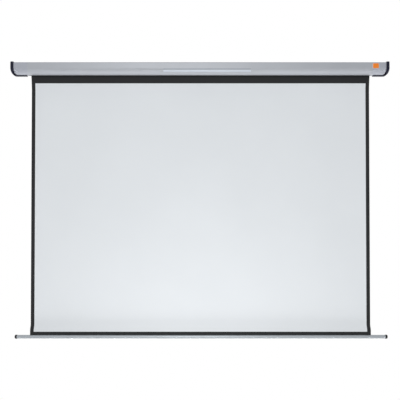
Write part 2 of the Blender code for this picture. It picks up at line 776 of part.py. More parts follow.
def output_stage(at):
    """Sun, planets, ring and carrier of the last reduction, in mesh."""
    axis = (roller_axis_y, roller_axis_z)
    ring_outer = circle(motor_radius - motor_wall - gap, 48)
    ring_teeth_outline = turn_points(gear_outline(ring_teeth, inside=True), ring_angle())
    ring = prism("ring_gear", [ring_outer, ring_teeth_outline], at["gear_start"] - ring_overrun,
                 at["bush_start"] - gap, axis)
    finish(ring, "zinc")
    sun = prism("sun_gear", [gear_outline(sun_teeth)], at["gear_start"], at["gear_end"], axis)
    combine(sun, rod("sun_shaft", sun_shaft, (at["core_end"] - sun_reach, *axis),
                     (at["gear_start"] + lap, *axis), 20), "UNION")
    finish(sun, "steel")
    arm = gear_module * (sun_teeth + planet_teeth) / 2
    carrier = rod("output_carrier", carrier_radius, (at["disc_start"], *axis),
                  (at["disc_end"], *axis), 36)
    combine(carrier, rod("carrier_shaft", shaft_radius, (at["disc_start"] + lap, *axis),
                         (at["casing_end"] + 2 * lap, *axis), 32), "UNION")
    square = shaft_square / 2
    square_end = at["casing_end"] + wheel_clear + wheel_length
    combine(carrier, box("carrier_square", (at["casing_end"], axis[0] - square, axis[1] - square),
                         (square_end, axis[0] + square, axis[1] + square)), "UNION")
    for number, (place, turn) in enumerate(planet_angles(), 1):
        y = axis[0] + arm * math.cos(math.radians(place))
        z = axis[1] + arm * math.sin(math.radians(place))
        bore = circle(pin_radius + running, 16)
        teeth = turn_points(gear_outline(planet_teeth), turn)
        planet = prism(f"planet_gear_{number}", [teeth, bore], at["gear_start"], at["gear_end"], (y, z))
        finish(planet, "steel")
        combine(carrier, rod(f"planet_pin_{number}", pin_radius, (at["gear_start"], y, z),
                             (at["disc_start"] + lap, y, z), 16), "UNION")
    finish(carrier, "steel")
    bush = turned("output_bush", ring_profile(motor_radius - motor_wall - gap, shaft_radius + running,
                                              at["bush_start"], at["casing_end"]), (0, *axis), 40, True)
    finish(bush, "brass")


def drive_wheel(at):
    """The wheel on the motor's square shaft that takes the tube round by its key."""
    low = at["casing_end"] + wheel_clear
    hole = shaft_square / 2 + gap
    square = [(hole, hole), (-hole, hole), (-hole, -hole), (hole, -hole)]
    axis = (roller_axis_y, roller_axis_z)
    wheel = prism("drive_wheel", [keyed_circle(tube_bore - gap), square], low, low + wheel_length, axis)
    for number in range(wheel_holes):
        angle = 2 * math.pi * number / wheel_holes
        place = (axis[0] + wheel_hole_ring * math.cos(angle), axis[1] + wheel_hole_ring * math.sin(angle))
        combine(wheel, rod(f"wheel_hole_{number}", wheel_hole_radius, (low - gap, *place),
                           (low + wheel_length + gap, *place), 16))
    return finish(wheel, "nylon")


def limit_crown(at):
    """The ring that the tube turns round the head's neck, to count turns for the limit switches."""
    axis = (roller_axis_y, roller_axis_z)
    sleeve_end = tube_left + crown_sleeve
    flange_start = -plate_inner + 2 * gap
    crown = prism("limit_crown", [keyed_circle(tube_bore - gap)], tube_left - lap, sleeve_end, axis)
    flange = prism("crown_flange", [circle(tube_radius, 40)], flange_start, tube_left - gap, axis)
    combine(crown, flange, "UNION")
    combine(crown, rod("crown_bore", neck_radius + gap, (flange_start - past, *axis),
                       (sleeve_end + past, *axis), 40))
    return finish(crown, "black_plastic")


def idler_end():
    axis = (roller_axis_y, roller_axis_z)
    inner_end = tube_right - idler_length
    plug = prism("idler_plug", [keyed_circle(tube_bore - gap), circle(idler_bush_radius + gap, 32)],
                 inner_end, tube_right - gap, axis)
    combine(plug, prism("idler_plug_flange", [circle(tube_radius, 40), circle(idler_bush_radius + gap, 32)],
                        tube_right + gap, tube_right + idler_rim, axis), "UNION")
    rings = [circle(idler_neck_radius, 40), circle(idler_bush_radius + gap, 32)]
    neck = prism("idler_plug_neck", rings, tube_right - 2 * lap, tube_right + lap, axis)
    combine(plug, neck, "UNION")
    finish(plug, "black_plastic")
    bush = prism("idler_bush", [circle(idler_bush_radius, 32), circle(idler_pin_radius + running, 32)],
                 inner_end, tube_right, axis)
    finish(bush, "brass")
    head = plate_outer + gap
    pin = [(0, head + idler_head), (idler_flange, head + idler_head), (idler_flange, head),
           (idler_pin_radius, head), (idler_pin_radius, inner_end), (0, inner_end)]
    finish(turned("idler_pin", pin, (0, *axis), 32), "steel")


def connection_box():
    """The box behind the left cover where the supply meets the motor's lead."""
    far = -plate_outer - gap - head_length - box_clear
    roof = top - cover_wall - gap
    low = (far - box_size[0], roller_axis_y + box_shift - box_size[1] / 2, roof - box_size[2])
    high = (far, low[1] + box_size[1], roof)
    shell = box("connection_box", low, high)
    combine(shell, box("box_hollow", (low[0] - past, low[1] + box_wall, low[2] + box_wall),
                       (high[0] - box_wall, high[1] - box_wall, high[2] - box_wall)))
    inlet = (low[0] + box_size[0] / 2, -inlet_place)
    combine(shell, rod("box_inlet", inlet_neck + gap, (*inlet, high[2] - 2 * box_wall),
                       (*inlet, high[2] + gap), 24))
    lead_end = (far - lead_drop + box_clear, roller_axis_y, low[2])
    combine(shell, rod("box_lead_hole", lead_radius + gap, (lead_end[0], lead_end[1], low[2] - gap),
                       (lead_end[0], lead_end[1], low[2] + 2 * box_wall), 16))
    finish(shell, "black_plastic")
    lid_start = low[0] - gap - box_lid
    lid = box("connection_box_lid", (lid_start, low[1], low[2]), (low[0] - gap, high[1], high[2]))
    finish(lid, "black_plastic")
    middle = (low[1] + high[1]) / 2
    seat = high[0] - box_wall - gap
    block = box("terminal_block", (seat - block_size[0], middle - block_size[1] / 2, low[2] + block_rise),
                (seat, middle + block_size[1] / 2, low[2] + block_rise + block_size[2]))
    finish(block, "nylon")
    return inlet, lead_end


def motor_lead(lead_end):
    """The lead from the motor's head up into the connection box."""
    face = -plate_outer - gap - head_length
    start_z = lead_end[2] + box_wall - lead_drop
    curve = bpy.data.curves.new("motor_lead", "CURVE")
    curve.dimensions = "3D"
    curve.bevel_depth = lead_radius
    curve.bevel_resolution = 2
    curve.use_fill_caps = True
    reach = face - gap - lead_end[0]
    points = [(face - gap, start_z)]
    points += [(lead_end[0] + reach * (1 - math.sin(math.radians(a))),
                start_z + lead_drop * (1 - math.cos(math.radians(a)))) for a in range(9, 90, 9)]
    points.append((lead_end[0], start_z + lead_drop))
    spline = curve.splines.new("POLY")
    spline.points.add(len(points) - 1)
    for point, (x, z) in zip(spline.points, points):
        point.co = (x, lead_end[1], z, 1)
    lead = bpy.data.objects.new("motor_lead", curve)
    screen_parts.objects.link(lead)
    lead.data.materials.append(new_material("motor_lead", *finishes["rubber"]))
    return lead


def cable_grommet(inlet):
    """The rubber inlet for the supply lead, through the cover's roof into the box."""
    roof = top + gap
    below = top - cover_wall - gap - box_wall - gap
    lip = inlet_flange - inlet_lip
    profile = [(inlet_flange, roof + inlet_rim), (inlet_flange, roof), (inlet_neck, roof),
               (inlet_neck, below), (lip, below), (lip, below - inlet_lip),
               (inlet_bore, below - inlet_lip), (inlet_bore, roof + inlet_rim)]
    grommet = turned("cable_grommet", profile, (*inlet, 0), 24, True)
    grommet.rotation_euler = (0, 0, 0)
    return finish(grommet, "rubber")


def bar_outline(grow=0.0, steps=40):
    """The bar's section: an oval a little fuller than an ellipse, from its top round by the front."""
    across, up = bar_depth / 2 + grow, bar_height / 2 + grow
    outline = []
    for i in range(steps):
        angle = 2 * math.pi * i / steps + math.pi / 2
        c, s = math.cos(angle), math.sin(angle)
        outline.append((across * math.copysign(abs(c) ** 0.85, c), up * math.copysign(abs(s) ** 0.85, s)))
    return outline


def bottom_bar():
    """An extruded bar with a keyhole slot on top for the hem, and a hollow below it."""
    hem_outer = hem_rod_radius + gap + fabric_thickness
    channel = hem_outer + gap
    slot = fabric_thickness + 1.5 * gap
    channel_up = bar_height / 2 - bar_roof - channel
    half_length = bar_length / 2 - bar_cap_dome - gap
    left, right = bar_shift - half_length, bar_shift + half_length
    centre = (sheet_middle, bar_middle)
    bar = prism("bottom_bar", [bar_outline()], left, right, centre)
    bend_at = math.degrees(math.asin(slot / channel))
    keyhole = arc((0, channel_up), (channel, channel), 90 + bend_at, 90 + 360 - bend_at, 20)
    keyhole += [(slot, bar_height), (-slot, bar_height)]
    combine(bar, prism("hem_channel", [keyhole], left - past, right + past, centre))
    hollow_up = channel_up - channel - bar_web
    depth = bar_height / 2 + hollow_up - bar_floor
    hollow = arc((0, hollow_up - depth / 2), (bar_hollow_width / 2, depth / 2), 0, 345, 23)
    combine(bar, prism("bar_hollow", [hollow], left - past, right + past, centre))
    finish(bar, "silver")
    half_fabric = fabric_width / 2
    low, high = fabric_shift - half_fabric, fabric_shift + half_fabric
    neck = math.degrees(math.asin(fabric_thickness / hem_outer))
    loop = arc((0, channel_up), (hem_outer, hem_outer), 90 + neck, 90 + 360 - neck, 24)
    loop += [(fabric_thickness, bar_height / 2 + hem_rise), (-fabric_thickness, bar_height / 2 + hem_rise)]
    hem = prism("fabric_hem", [loop, circle(hem_rod_radius + gap, 20, (0, channel_up))], low, high, centre)
    finish(hem, "black_plastic")
    stiffener = rod("hem_rod", hem_rod_radius, (low - hem_rod_proud, sheet_middle, bar_middle + channel_up),
                    (high + hem_rod_proud, sheet_middle, bar_middle + channel_up), 16)
    finish(stiffener, "steel")


def bar_cap(name, side):
    """A moulded cap over the bar's end, domed outwards, its inner edge bowed so that it shows as a crescent."""
    outer = bar_length / 2
    grow = (bar_cap_height - bar_height) / 2
    places = [(outer - bar_cap_length, 1.0)]
    for angle in (0, 22, 44, 62, 78):
        x = outer - bar_cap_dome * (1 - math.sin(math.radians(angle)) / math.sin(math.radians(78)))
        places.append((x, 0.25 + 0.75 * math.cos(math.radians(angle))))
    stations = []
    for x, scale in places:
        outline = [(sheet_middle + y * scale, bar_middle + z * scale) for y, z in bar_outline(grow, 28)]
        stations.append((bar_shift + side * x, outline))
    cap = loft(name, stations)
    near, far = sorted((bar_shift + side * (outer - bar_cap_length - past),
                        bar_shift + side * (outer - bar_cap_dome)))
    combine(cap, prism(f"{name}_pocket", [bar_outline(gap)], near, far, (sheet_middle, bar_middle)))
    chord = bar_cap_height / 2 + bar_cap_rim
    reach = (chord**2 + bar_cap_bow**2) / (2 * bar_cap_bow)
    middle = bar_shift + side * (outer - bar_cap_length + bar_cap_bow - reach)
    combine(cap, rod(f"{name}_bow", reach, (middle, sheet_middle - bar_depth, bar_middle),
                     (middle, sheet_middle + bar_depth, bar_middle), 64))
    return finish(cap, "black_plastic")


def screen_fabric():
    """The hanging sheet. Its sides are drawn in between the roller and the bar, which hold its full width."""
    high = roller_axis_z
    low = bar_top + hem_rise + gap
    full = fabric_width / 2
    drawn_in = full - side_draw
    edge = []
    steps = 8
    for start, drop, turn in ((high, high - bottom, 1), (low + flat_hem + draw_end, draw_end, -1)):
        for i in range(steps + 1):
            share = i / steps
            kept = side_draw * (0.5 + 0.5 * turn * math.cos(math.pi * share))
            edge.append((drawn_in + kept, start - drop * share))
    edge.append((full, low))
    outline = [(x + fabric_shift, z) for x, z in edge] + [(fabric_shift - x, z) for x, z in reversed(edge)]
    sheet = prism("screen_fabric", [outline], sheet_back - fabric_thickness, sheet_back, along="Y")
    return finish(sheet, "sheet")


def housing():
    case_profile()
    front_inlay()
    for side, hand in ((-1, "left"), (1, "right")):
        cover = end_cover(f"end_cover_{hand}", side)
        if side < 0:
            left_cover = cover
        finish(cover, "silver_plastic")
        end_bumper(f"end_bumper_{hand}", side)
        wall_bracket(f"wall_bracket_{hand}", side)
    end_plates()
    inlet, lead_end = connection_box()
    combine(left_cover, rod("roof_inlet", inlet_neck + gap, (*inlet, top - 2 * cover_wall),
                            (*inlet, top + cover_wall), 24))
    motor_lead(lead_end)
    cable_grommet(inlet)


def motor():
    at = motor_places()
    motor_head(at)
    limit_screw("limit_screw_up", 1)
    limit_screw("limit_screw_down", -1)
    motor_inside(at)
    output_stage(at)
    drive_wheel(at)
    limit_crown(at)


def roller():
    roller_tube()
    fabric_on_roller()
    idler_end()


def sheet_and_bar():
    screen_fabric()
    bottom_bar()
    bar_cap("bar_cap_left", -1)
    bar_cap("bar_cap_right", 1)


housing()
motor()
roller()
sheet_and_bar()
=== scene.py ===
# Motorized projector screen: looks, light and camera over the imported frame.
# Metres, +Z up. X runs along the case, the wall is y = 0 and the picture faces -Y.
import math

import bpy
import numpy as np
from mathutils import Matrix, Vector


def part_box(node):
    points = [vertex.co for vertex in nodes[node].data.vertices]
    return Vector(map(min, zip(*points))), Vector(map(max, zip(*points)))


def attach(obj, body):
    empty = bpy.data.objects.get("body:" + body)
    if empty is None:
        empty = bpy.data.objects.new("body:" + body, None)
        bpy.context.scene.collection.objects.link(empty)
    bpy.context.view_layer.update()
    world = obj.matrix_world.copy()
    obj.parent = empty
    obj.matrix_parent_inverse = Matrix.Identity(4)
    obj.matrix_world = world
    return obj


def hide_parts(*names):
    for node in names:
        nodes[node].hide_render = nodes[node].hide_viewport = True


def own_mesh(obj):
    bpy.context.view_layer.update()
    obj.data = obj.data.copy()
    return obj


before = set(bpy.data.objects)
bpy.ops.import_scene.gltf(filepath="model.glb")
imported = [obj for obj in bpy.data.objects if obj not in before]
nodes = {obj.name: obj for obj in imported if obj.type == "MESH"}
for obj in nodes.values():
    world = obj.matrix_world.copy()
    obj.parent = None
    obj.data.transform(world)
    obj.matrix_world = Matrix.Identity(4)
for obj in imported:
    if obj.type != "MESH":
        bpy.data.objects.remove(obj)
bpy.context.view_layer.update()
print("frame loaded:", len(nodes), "nodes")


# Helpers for meshes

sharpDegrees = 40  # an edge that folds by more than this is drawn sharp


def meshPiece(name, vertices, faces, uv=None, rim=None, slots=None):
    # Vertices and faces become an object at the origin. Six times the volume is the sum of a . (b x c) over
    # the triangles that fan each face: where that is negative, the mesh is inside out and is turned.
    vertices = np.asarray(vertices, float)
    volume = 0.0
    for group in faces:
        corners = vertices[group]
        for k in range(1, group.shape[1] - 1):
            cross = np.cross(corners[:, k], corners[:, k + 1])
            volume += float((corners[:, 0] * cross).sum())
    if volume < 0:
        faces = [group[:, ::-1] for group in faces]
    mesh = bpy.data.meshes.new(name)
    mesh.from_pydata(vertices.tolist(), [], [face for group in faces for face in group.tolist()])
    if uv is not None:
        layer = mesh.uv_layers.new(name="clothPlace")
        corner = np.zeros(len(mesh.loops), np.int32)
        mesh.loops.foreach_get("vertex_index", corner)
        layer.data.foreach_set("uv", np.asarray(uv, np.float32)[corner].ravel())
    if rim is not None:
        mesh.attributes.new("rim", "FLOAT", "POINT").data.foreach_set("value", np.asarray(rim, np.float32))
    if slots is not None:
        mesh.polygons.foreach_set("material_index", np.asarray(slots, np.int32))
    mesh.shade_smooth()
    mesh.set_sharp_from_angle(angle=math.radians(sharpDegrees))
    piece = bpy.data.objects.new(name, mesh)
    bpy.context.scene.collection.objects.link(piece)
    return piece


def gridFaces(index):
    # Neighbouring rows and columns of an index grid, joined into quads.
    quads = np.stack([index[:-1, :-1], index[:-1, 1:], index[1:, 1:], index[1:, :-1]], axis=-1)
    return quads.reshape(-1, 4)


def clothShell(name, front, back, place, backSlot=1):
    # Two matching grids of points, a cloth's front and back, joined by one strip of quads round their rims.
    rows, columns = front.shape[:2]
    count = rows * columns
    index = np.arange(count).reshape(rows, columns)
    around = np.concatenate([index[0], index[1:, -1], index[-1, -2::-1], index[-2:0:-1, 0]])
    after = np.roll(around, -1)
    sides = np.stack([after, around, around + count, after + count], axis=-1)
    faces = [gridFaces(index), gridFaces(index + count)[:, ::-1], sides]
    slots = np.concatenate([np.zeros(len(faces[0])), np.full(len(faces[1]), backSlot), np.zeros(len(sides))])
    vertices = np.concatenate([front.reshape(-1, 3), back.reshape(-1, 3)])
    uv = np.concatenate([place.reshape(-1, 2), place.reshape(-1, 2)])
    return meshPiece(name, vertices, faces, uv, slots=slots)


def lidded(rings):
    # Rings of points from a closed top to a closed bottom: quads between them, and a fan to the middle at
    # each end.
    rows, columns = rings.shape[:2]
    index = np.arange(rows * columns).reshape(rows, columns)
    wrapped = np.concatenate([index, index[:, :1]], axis=1)
    first, last = rows * columns, rows * columns + 1
    vertices = np.concatenate([rings.reshape(-1, 3), rings[:1].mean(axis=1), rings[-1:].mean(axis=1)])
    start = np.stack([np.full(columns, first), wrapped[0, 1:], wrapped[0, :-1]], axis=-1)
    end = np.stack([np.full(columns, last), wrapped[-1, :-1], wrapped[-1, 1:]], axis=-1)
    return vertices, gridFaces(wrapped), np.concatenate([start, end])


# Helpers for nodes

noiseRange = (0.3, 0.7)  # most of a noise node's values lie between these


def put(tree, kind, inputs=None, **settings):
    # One node, its settings, then its inputs: a socket is linked, anything else is its value.
    node = tree.nodes.new(kind)
    for name, value in settings.items():
        setattr(node, name, value)
    for name, value in (inputs or {}).items():
        if isinstance(value, bpy.types.NodeSocket):
            tree.links.new(value, node.inputs[name])
        else:
            node.inputs[name].default_value = value
    return node


def sums(tree, operation, *values):
    # One step of arithmetic on one, two or three values, in the order that the Math node takes them.
    return put(tree, "ShaderNodeMath", dict(enumerate(values)), operation=operation).outputs[0]


def span(tree, value, low, high, toLow=0.0, toHigh=1.0, smooth=False):
    # A value moved from low..high to toLow..toHigh and held at the ends, in a straight line or an eased one.
    kind = "SMOOTHSTEP" if smooth else "LINEAR"
    inputs = {"Value": value, "From Min": low, "From Max": high, "To Min": toLow, "To Max": toHigh}
    return put(tree, "ShaderNodeMapRange", inputs, interpolation_type=kind).outputs[0]


def noise(tree, place, scale, detail, roughness):
    # Noise of so many cells a metre, with finer noise added so many times, each weaker by the roughness.
    inputs = {"Vector": place, "Scale": scale, "Detail": detail, "Roughness": roughness}
    return put(tree, "ShaderNodeTexNoise", inputs).outputs["Fac"]


def blendColours(tree, share, first, second):
    # First times one less the share, plus second times the share.
    node = put(tree, "ShaderNodeMix", data_type="RGBA")
    for socket, value in ((node.inputs[0], share), (node.inputs[6], first), (node.inputs[7], second)):
        if isinstance(value, bpy.types.NodeSocket):
            tree.links.new(value, socket)
        else:
            socket.default_value = (*value, 1.0) if hasattr(value, "__len__") else value
    return node.outputs[2]


def layOver(tree, colour, mask, share, over):
    # A second colour over the first, where the mask times the share says how much of it shows.
    return blendColours(tree, sums(tree, "MULTIPLY", mask, share), colour, over)


def newGroup(name, inputs, outputs):
    # A node group: a place and numbers go in by name, with their first values, and numbers come out by name.
    group = bpy.data.node_groups.new(name, "ShaderNodeTree")
    group.interface.new_socket(name="Place", in_out="INPUT", socket_type="NodeSocketVector")
    for socket, value in inputs.items():
        made = group.interface.new_socket(name=socket, in_out="INPUT", socket_type="NodeSocketFloat")
        made.default_value = value
    for socket in outputs:
        group.interface.new_socket(name=socket, in_out="OUTPUT", socket_type="NodeSocketFloat")
    return group, group.nodes.new("NodeGroupInput").outputs


def effect(tree, group, inputs):
    # A node group placed in a material, with its inputs by name.
    return put(tree, "ShaderNodeGroup", inputs, node_tree=group).outputs


# Effects that several materials use; a pair for noise is its detail and roughness

grainEffect = {"grains": 900.0, "patches": 9.0, "fine": (2.0, 0.6), "wide": (3.0, 0.55)}
dieEffect = {"lines": 700.0, "stretch": (0.004, 1.0, 1.0), "broadShare": 0.16, "fine": (3.0, 0.65),
             "broad": (2.0, 0.5)}
wearEffect = {"width": 0.0012, "breaks": 120.0, "samples": 4, "turned": (0.995, 0.86), "noise": (4.0, 0.7),
              "patchy": (0.38, 0.68)}
dustEffect = {"facingUp": (0.55, 1.0), "patches": 38.0, "noise": (5.0, 0.65), "patchy": (0.35, 0.75)}
latheEffect = {"rings": 2200.0, "axisDepth": 0.041, "patches": 140.0, "ring": (2.0, 0.5), "wide": (3.0, 0.5)}
weaveEffect = {"threads": 1100.0}


def makeGrain(look):
    # Grain: noise as fine as the surface's own texture. Tone: noise drawn far larger, spread from 0 to 1.
    inputs = {"Grains per metre": look["grains"], "Patches per metre": look["patches"]}
    group, given = newGroup("fineGrain", inputs, ["Grain", "Tone"])
    fine = noise(group, given["Place"], given["Grains per metre"], *look["fine"])
    wide = noise(group, given["Place"], given["Patches per metre"], *look["wide"])
    put(group, "NodeGroupOutput", {"Grain": fine, "Tone": span(group, wide, *noiseRange)})
    return group


def makeDieLines(look):
    # Lines that a die leaves along an extrusion: noise on a place whose X is shrunk, fine and again broad.
    group, given = newGroup("dieLines", {"Lines per metre": look["lines"]}, ["Line", "Tone"])
    drawn = put(group, "ShaderNodeMapping", {"Vector": given["Place"], "Scale": look["stretch"]}).outputs[0]
    fine = noise(group, drawn, given["Lines per metre"], *look["fine"])
    fewer = sums(group, "MULTIPLY", given["Lines per metre"], look["broadShare"])
    broad = noise(group, drawn, fewer, *look["broad"])
    put(group, "NodeGroupOutput", {"Line": fine, "Tone": span(group, broad, *noiseRange)})
    return group


def makeEdgeWear(look):
    # The dot product of the rounded normal and the real one drops under 1 at an edge; noise breaks that up.
    inputs = {"Width": look["width"], "Breaks per metre": look["breaks"]}
    group, given = newGroup("edgeWear", inputs, ["Worn"])
    rounded = put(group, "ShaderNodeBevel", {"Radius": given["Width"]}, samples=look["samples"]).outputs[0]
    real = put(group, "ShaderNodeNewGeometry").outputs["Normal"]
    agree = put(group, "ShaderNodeVectorMath", {0: rounded, 1: real}, operation="DOT_PRODUCT")
    edge = span(group, agree.outputs["Value"], *look["turned"], smooth=True)
    breaks = noise(group, given["Place"], given["Breaks per metre"], *look["noise"])
    worn = sums(group, "MULTIPLY", edge, span(group, breaks, *look["patchy"]))
    put(group, "NodeGroupOutput", {"Worn": worn})
    return group


def makeDust(look):
    # Dust lies where the normal's Z comes near 1, thicker in patches of noise.
    group, given = newGroup("dustFall", {}, ["Dust"])
    normal = put(group, "ShaderNodeNewGeometry").outputs["Normal"]
    height = put(group, "ShaderNodeSeparateXYZ", {0: normal}).outputs["Z"]
    up = span(group, height, *look["facingUp"], smooth=True)
    patches = noise(group, given["Place"], look["patches"], *look["noise"])
    dust = sums(group, "MULTIPLY", up, span(group, patches, *look["patchy"]))
    put(group, "NodeGroupOutput", {"Dust": dust})
    return group


def makeLatheMarks(look):
    # Rings that a tool leaves round the roller's axis: noise on X and on the distance from the axis, the root
    # of the sum of the squares of z and of y plus the axis's depth.
    group, given = newGroup("latheMarks", {"Rings per metre": look["rings"]}, ["Ring", "Tone"])
    parts = put(group, "ShaderNodeSeparateXYZ", {0: given["Place"]}).outputs
    depth = sums(group, "ADD", parts["Y"], look["axisDepth"])
    fromAxis = put(group, "ShaderNodeCombineXYZ", {"Y": depth, "Z": parts["Z"]}).outputs[0]
    radius = put(group, "ShaderNodeVectorMath", {0: fromAxis}, operation="LENGTH").outputs["Value"]
    flat = put(group, "ShaderNodeCombineXYZ", {"X": radius, "Y": parts["X"]}).outputs[0]
    ring = noise(group, flat, given["Rings per metre"], *look["ring"])
    wide = noise(group, given["Place"], look["patches"], *look["wide"])
    put(group, "NodeGroupOutput", {"Ring": ring, "Tone": span(group, wide, *noiseRange)})
    return group


def makeWeave(look):
    # Threads over and under: the sine of pi n x times the sine of pi n y, for n threads a metre, from 0 to 1.
    group, given = newGroup("clothWeave", {"Threads per metre": look["threads"]}, ["Thread"])
    parts = put(group, "ShaderNodeSeparateXYZ", {0: given["Place"]}).outputs
    turn = sums(group, "MULTIPLY", given["Threads per metre"], math.pi)
    across = sums(group, "SINE", sums(group, "MULTIPLY", parts["X"], turn))
    along = sums(group, "SINE", sums(group, "MULTIPLY", parts["Y"], turn))
    put(group, "NodeGroupOutput", {"Thread": span(group, sums(group, "MULTIPLY", across, along), -1.0, 1.0)})
    return group


fineGrain = makeGrain(grainEffect)
dieLines = makeDieLines(dieEffect)
edgeWear = makeEdgeWear(wearEffect)
dustFall = makeDust(dustEffect)
latheMarks = makeLatheMarks(latheEffect)
clothWeave = makeWeave(weaveEffect)
print("effects made")


def startMaterial(name, constants):
    # A material with one Principled shader; constants go on its own sockets.
    material = bpy.data.materials.new(name)
    material.use_nodes = True
    tree = material.node_tree
    tree.nodes.clear()
    shader = put(tree, "ShaderNodeBsdfPrincipled", constants)
    put(tree, "ShaderNodeOutputMaterial", {"Surface": shader.outputs[0]})
    place = put(tree, "ShaderNodeTexCoord").outputs["Object"]
    return material, tree, shader, place


def feed(tree, shader, colour, roughness=None, metallic=None, height=None, bump=None):
    # What varies is linked into the shader; a height becomes a bump with a depth in metres and a strength.
    tree.links.new(colour, shader.inputs["Base Color"])
    if roughness is not None:
        tree.links.new(roughness, shader.inputs["Roughness"])
    if metallic is not None:
        tree.links.new(metallic, shader.inputs["Metallic"])
    if height is not None:
        raised = put(tree, "ShaderNodeBump", {"Height": height, "Distance": bump[0], "Strength": bump[1]})
        tree.links.new(raised.outputs[0], shader.inputs["Normal"])


def grainOn(tree, place, look):
    # The fine grain effect at a look's own scales.
    inputs = {"Place": place, "Grains per metre": look["grains"], "Patches per metre": look["patches"]}
    return effect(tree, fineGrain, inputs)


def wornOn(tree, place, look):
    # The edge wear effect at a look's own width and breaks.
    inputs = {"Place": place, "Width": look["wearWidth"], "Breaks per metre": look["breaks"]}
    return effect(tree, edgeWear, inputs)["Worn"]


# Materials of the case and its ends

silverLook = {
    "colour": (0.405, 0.42, 0.45), "deep": (0.385, 0.40, 0.43), "bare": (0.62, 0.63, 0.65),
    "dust": (0.52, 0.51, 0.49), "roughness": (0.35, 0.43), "metallic": 0.22,
    "grains": 750.0, "patches": 6.0, "bump": (0.00006, 0.35),
    "wearWidth": 0.0011, "breaks": 120.0, "wearShare": 0.55, "dustShare": 0.22, "dustRoughness": 0.2,
}
coverLook = {**silverLook, "colour": (0.39, 0.405, 0.45), "deep": (0.37, 0.385, 0.43), "grains": 1100.0}


def silverPaint(name, look):
    # Powder coat: fine orange peel, slight change of tone, metal at worn edges, dust on top.
    material, tree, shader, place = startMaterial(name, {"Metallic": look["metallic"]})
    grain = grainOn(tree, place, look)
    dust = effect(tree, dustFall, {"Place": place})["Dust"]
    colour = blendColours(tree, grain["Tone"], look["deep"], look["colour"])
    colour = layOver(tree, colour, wornOn(tree, place, look), look["wearShare"], look["bare"])
    colour = layOver(tree, colour, dust, look["dustShare"], look["dust"])
    rough = span(tree, grain["Grain"], *noiseRange, *look["roughness"])
    rough = sums(tree, "MULTIPLY_ADD", dust, look["dustRoughness"], rough)
    feed(tree, shader, colour, rough, height=grain["Grain"], bump=look["bump"])
    return material


mouldingLook = {
    "grains": 1400.0, "patches": 14.0, "bump": (0.00008, 0.5), "specular": 0.3,
    "wearWidth": 0.0009, "breaks": 160.0, "wearShare": 0.5, "dustShare": 0.2,
}
trimLook = {
    **mouldingLook, "specular": 0.2,
    "colour": (0.009, 0.010, 0.028), "deep": (0.006, 0.007, 0.021), "scuff": (0.05, 0.052, 0.075),
    "dust": (0.20, 0.20, 0.20), "roughness": (0.42, 0.55),
}
blackLook = {
    **mouldingLook,
    "colour": (0.020, 0.020, 0.022), "deep": (0.012, 0.012, 0.014), "scuff": (0.09, 0.09, 0.09),
    "dust": (0.20, 0.20, 0.19), "roughness": (0.36, 0.5),
}
capLook = {
    **blackLook, "grains": 2000.0, "specular": 0.16, "wearShare": 0.3,
    "scuff": (0.04, 0.04, 0.042), "dust": (0.08, 0.08, 0.08),
}
nylonLook = {
    **mouldingLook, "specular": 0.45,
    "colour": (0.72, 0.70, 0.64), "deep": (0.62, 0.59, 0.52), "scuff": (0.80, 0.79, 0.76),
    "dust": (0.5, 0.48, 0.44), "roughness": (0.42, 0.56),
}
rubberLook = {
    **mouldingLook, "grains": 2200.0, "specular": 0.2,
    "colour": (0.022, 0.022, 0.023), "deep": (0.014, 0.014, 0.015), "scuff": (0.06, 0.06, 0.06),
    "dust": (0.18, 0.18, 0.17), "roughness": (0.68, 0.85),
}


def moulding(name, look):
    # Spark-eroded plastic: fine grain, edges rubbed paler, dust on top.
    material, tree, shader, place = startMaterial(name, {"Specular IOR Level": look["specular"]})
    grain = grainOn(tree, place, look)
    dust = effect(tree, dustFall, {"Place": place})["Dust"]
    colour = blendColours(tree, grain["Tone"], look["deep"], look["colour"])
    colour = layOver(tree, colour, wornOn(tree, place, look), look["wearShare"], look["scuff"])
    colour = layOver(tree, colour, dust, look["dustShare"], look["dust"])
    rough = span(tree, grain["Tone"], 0.0, 1.0, *look["roughness"])
    feed(tree, shader, colour, rough, height=grain["Grain"], bump=look["bump"])
    return material


# The inlay's two colours are painted light: the darker is painted shade on the flat band above the fold, the
# paler a painted highlight on the bead below it.
inlayLook = {
    "paintedHighlight": (0.54, 0.58, 0.64), "dark": (0.31, 0.33, 0.36), "foldHeight": -0.0098, "foldBlur": 0.0003,
    "lineTone": (0.5, 0.52, 0.55), "lineShare": 0.12, "lines": 2600.0, "bump": (0.00004, 0.4),
    "roughness": (0.34, 0.46), "metallic": 0.85,
}


def inlayMetal(name, look):
    # Metal with a painted highlight on the drawn bead below the fold's height and painted shade on the flat
    # band above it.
    material, tree, shader, place = startMaterial(name, {"Metallic": look["metallic"]})
    lines = effect(tree, dieLines, {"Place": place, "Lines per metre": look["lines"]})
    height = put(tree, "ShaderNodeSeparateXYZ", {0: place}).outputs["Z"]
    # Painted shade above the fold's height, painted highlight below it.
    paintedShadeShare = span(tree, height, look["foldHeight"] - look["foldBlur"], look["foldHeight"] + look["foldBlur"])
    colour = blendColours(tree, paintedShadeShare, look["paintedHighlight"], look["dark"])
    colour = layOver(tree, colour, lines["Tone"], look["lineShare"], look["lineTone"])
    rough = span(tree, lines["Line"], *noiseRange, *look["roughness"])
    feed(tree, shader, colour, rough, height=lines["Line"], bump=look["bump"])
    return material


# Materials of the bar, the roller and the metal inside

barLook = {
    "colour": (0.365, 0.391, 0.418), "deep": (0.332, 0.356, 0.382), "bare": (0.62, 0.62, 0.63),
    "roughness": (0.34, 0.44), "metallic": 0.75, "lines": 1500.0, "bump": (0.00005, 0.4),
    "wearWidth": 0.0007, "breaks": 120.0, "wearShare": 0.5,
}
tubeLook = {
    **barLook, "colour": (0.55, 0.56, 0.58), "deep": (0.49, 0.50, 0.52), "bare": (0.74, 0.74, 0.75),
    "roughness": (0.28, 0.45), "metallic": 0.95, "lines": 900.0,
}


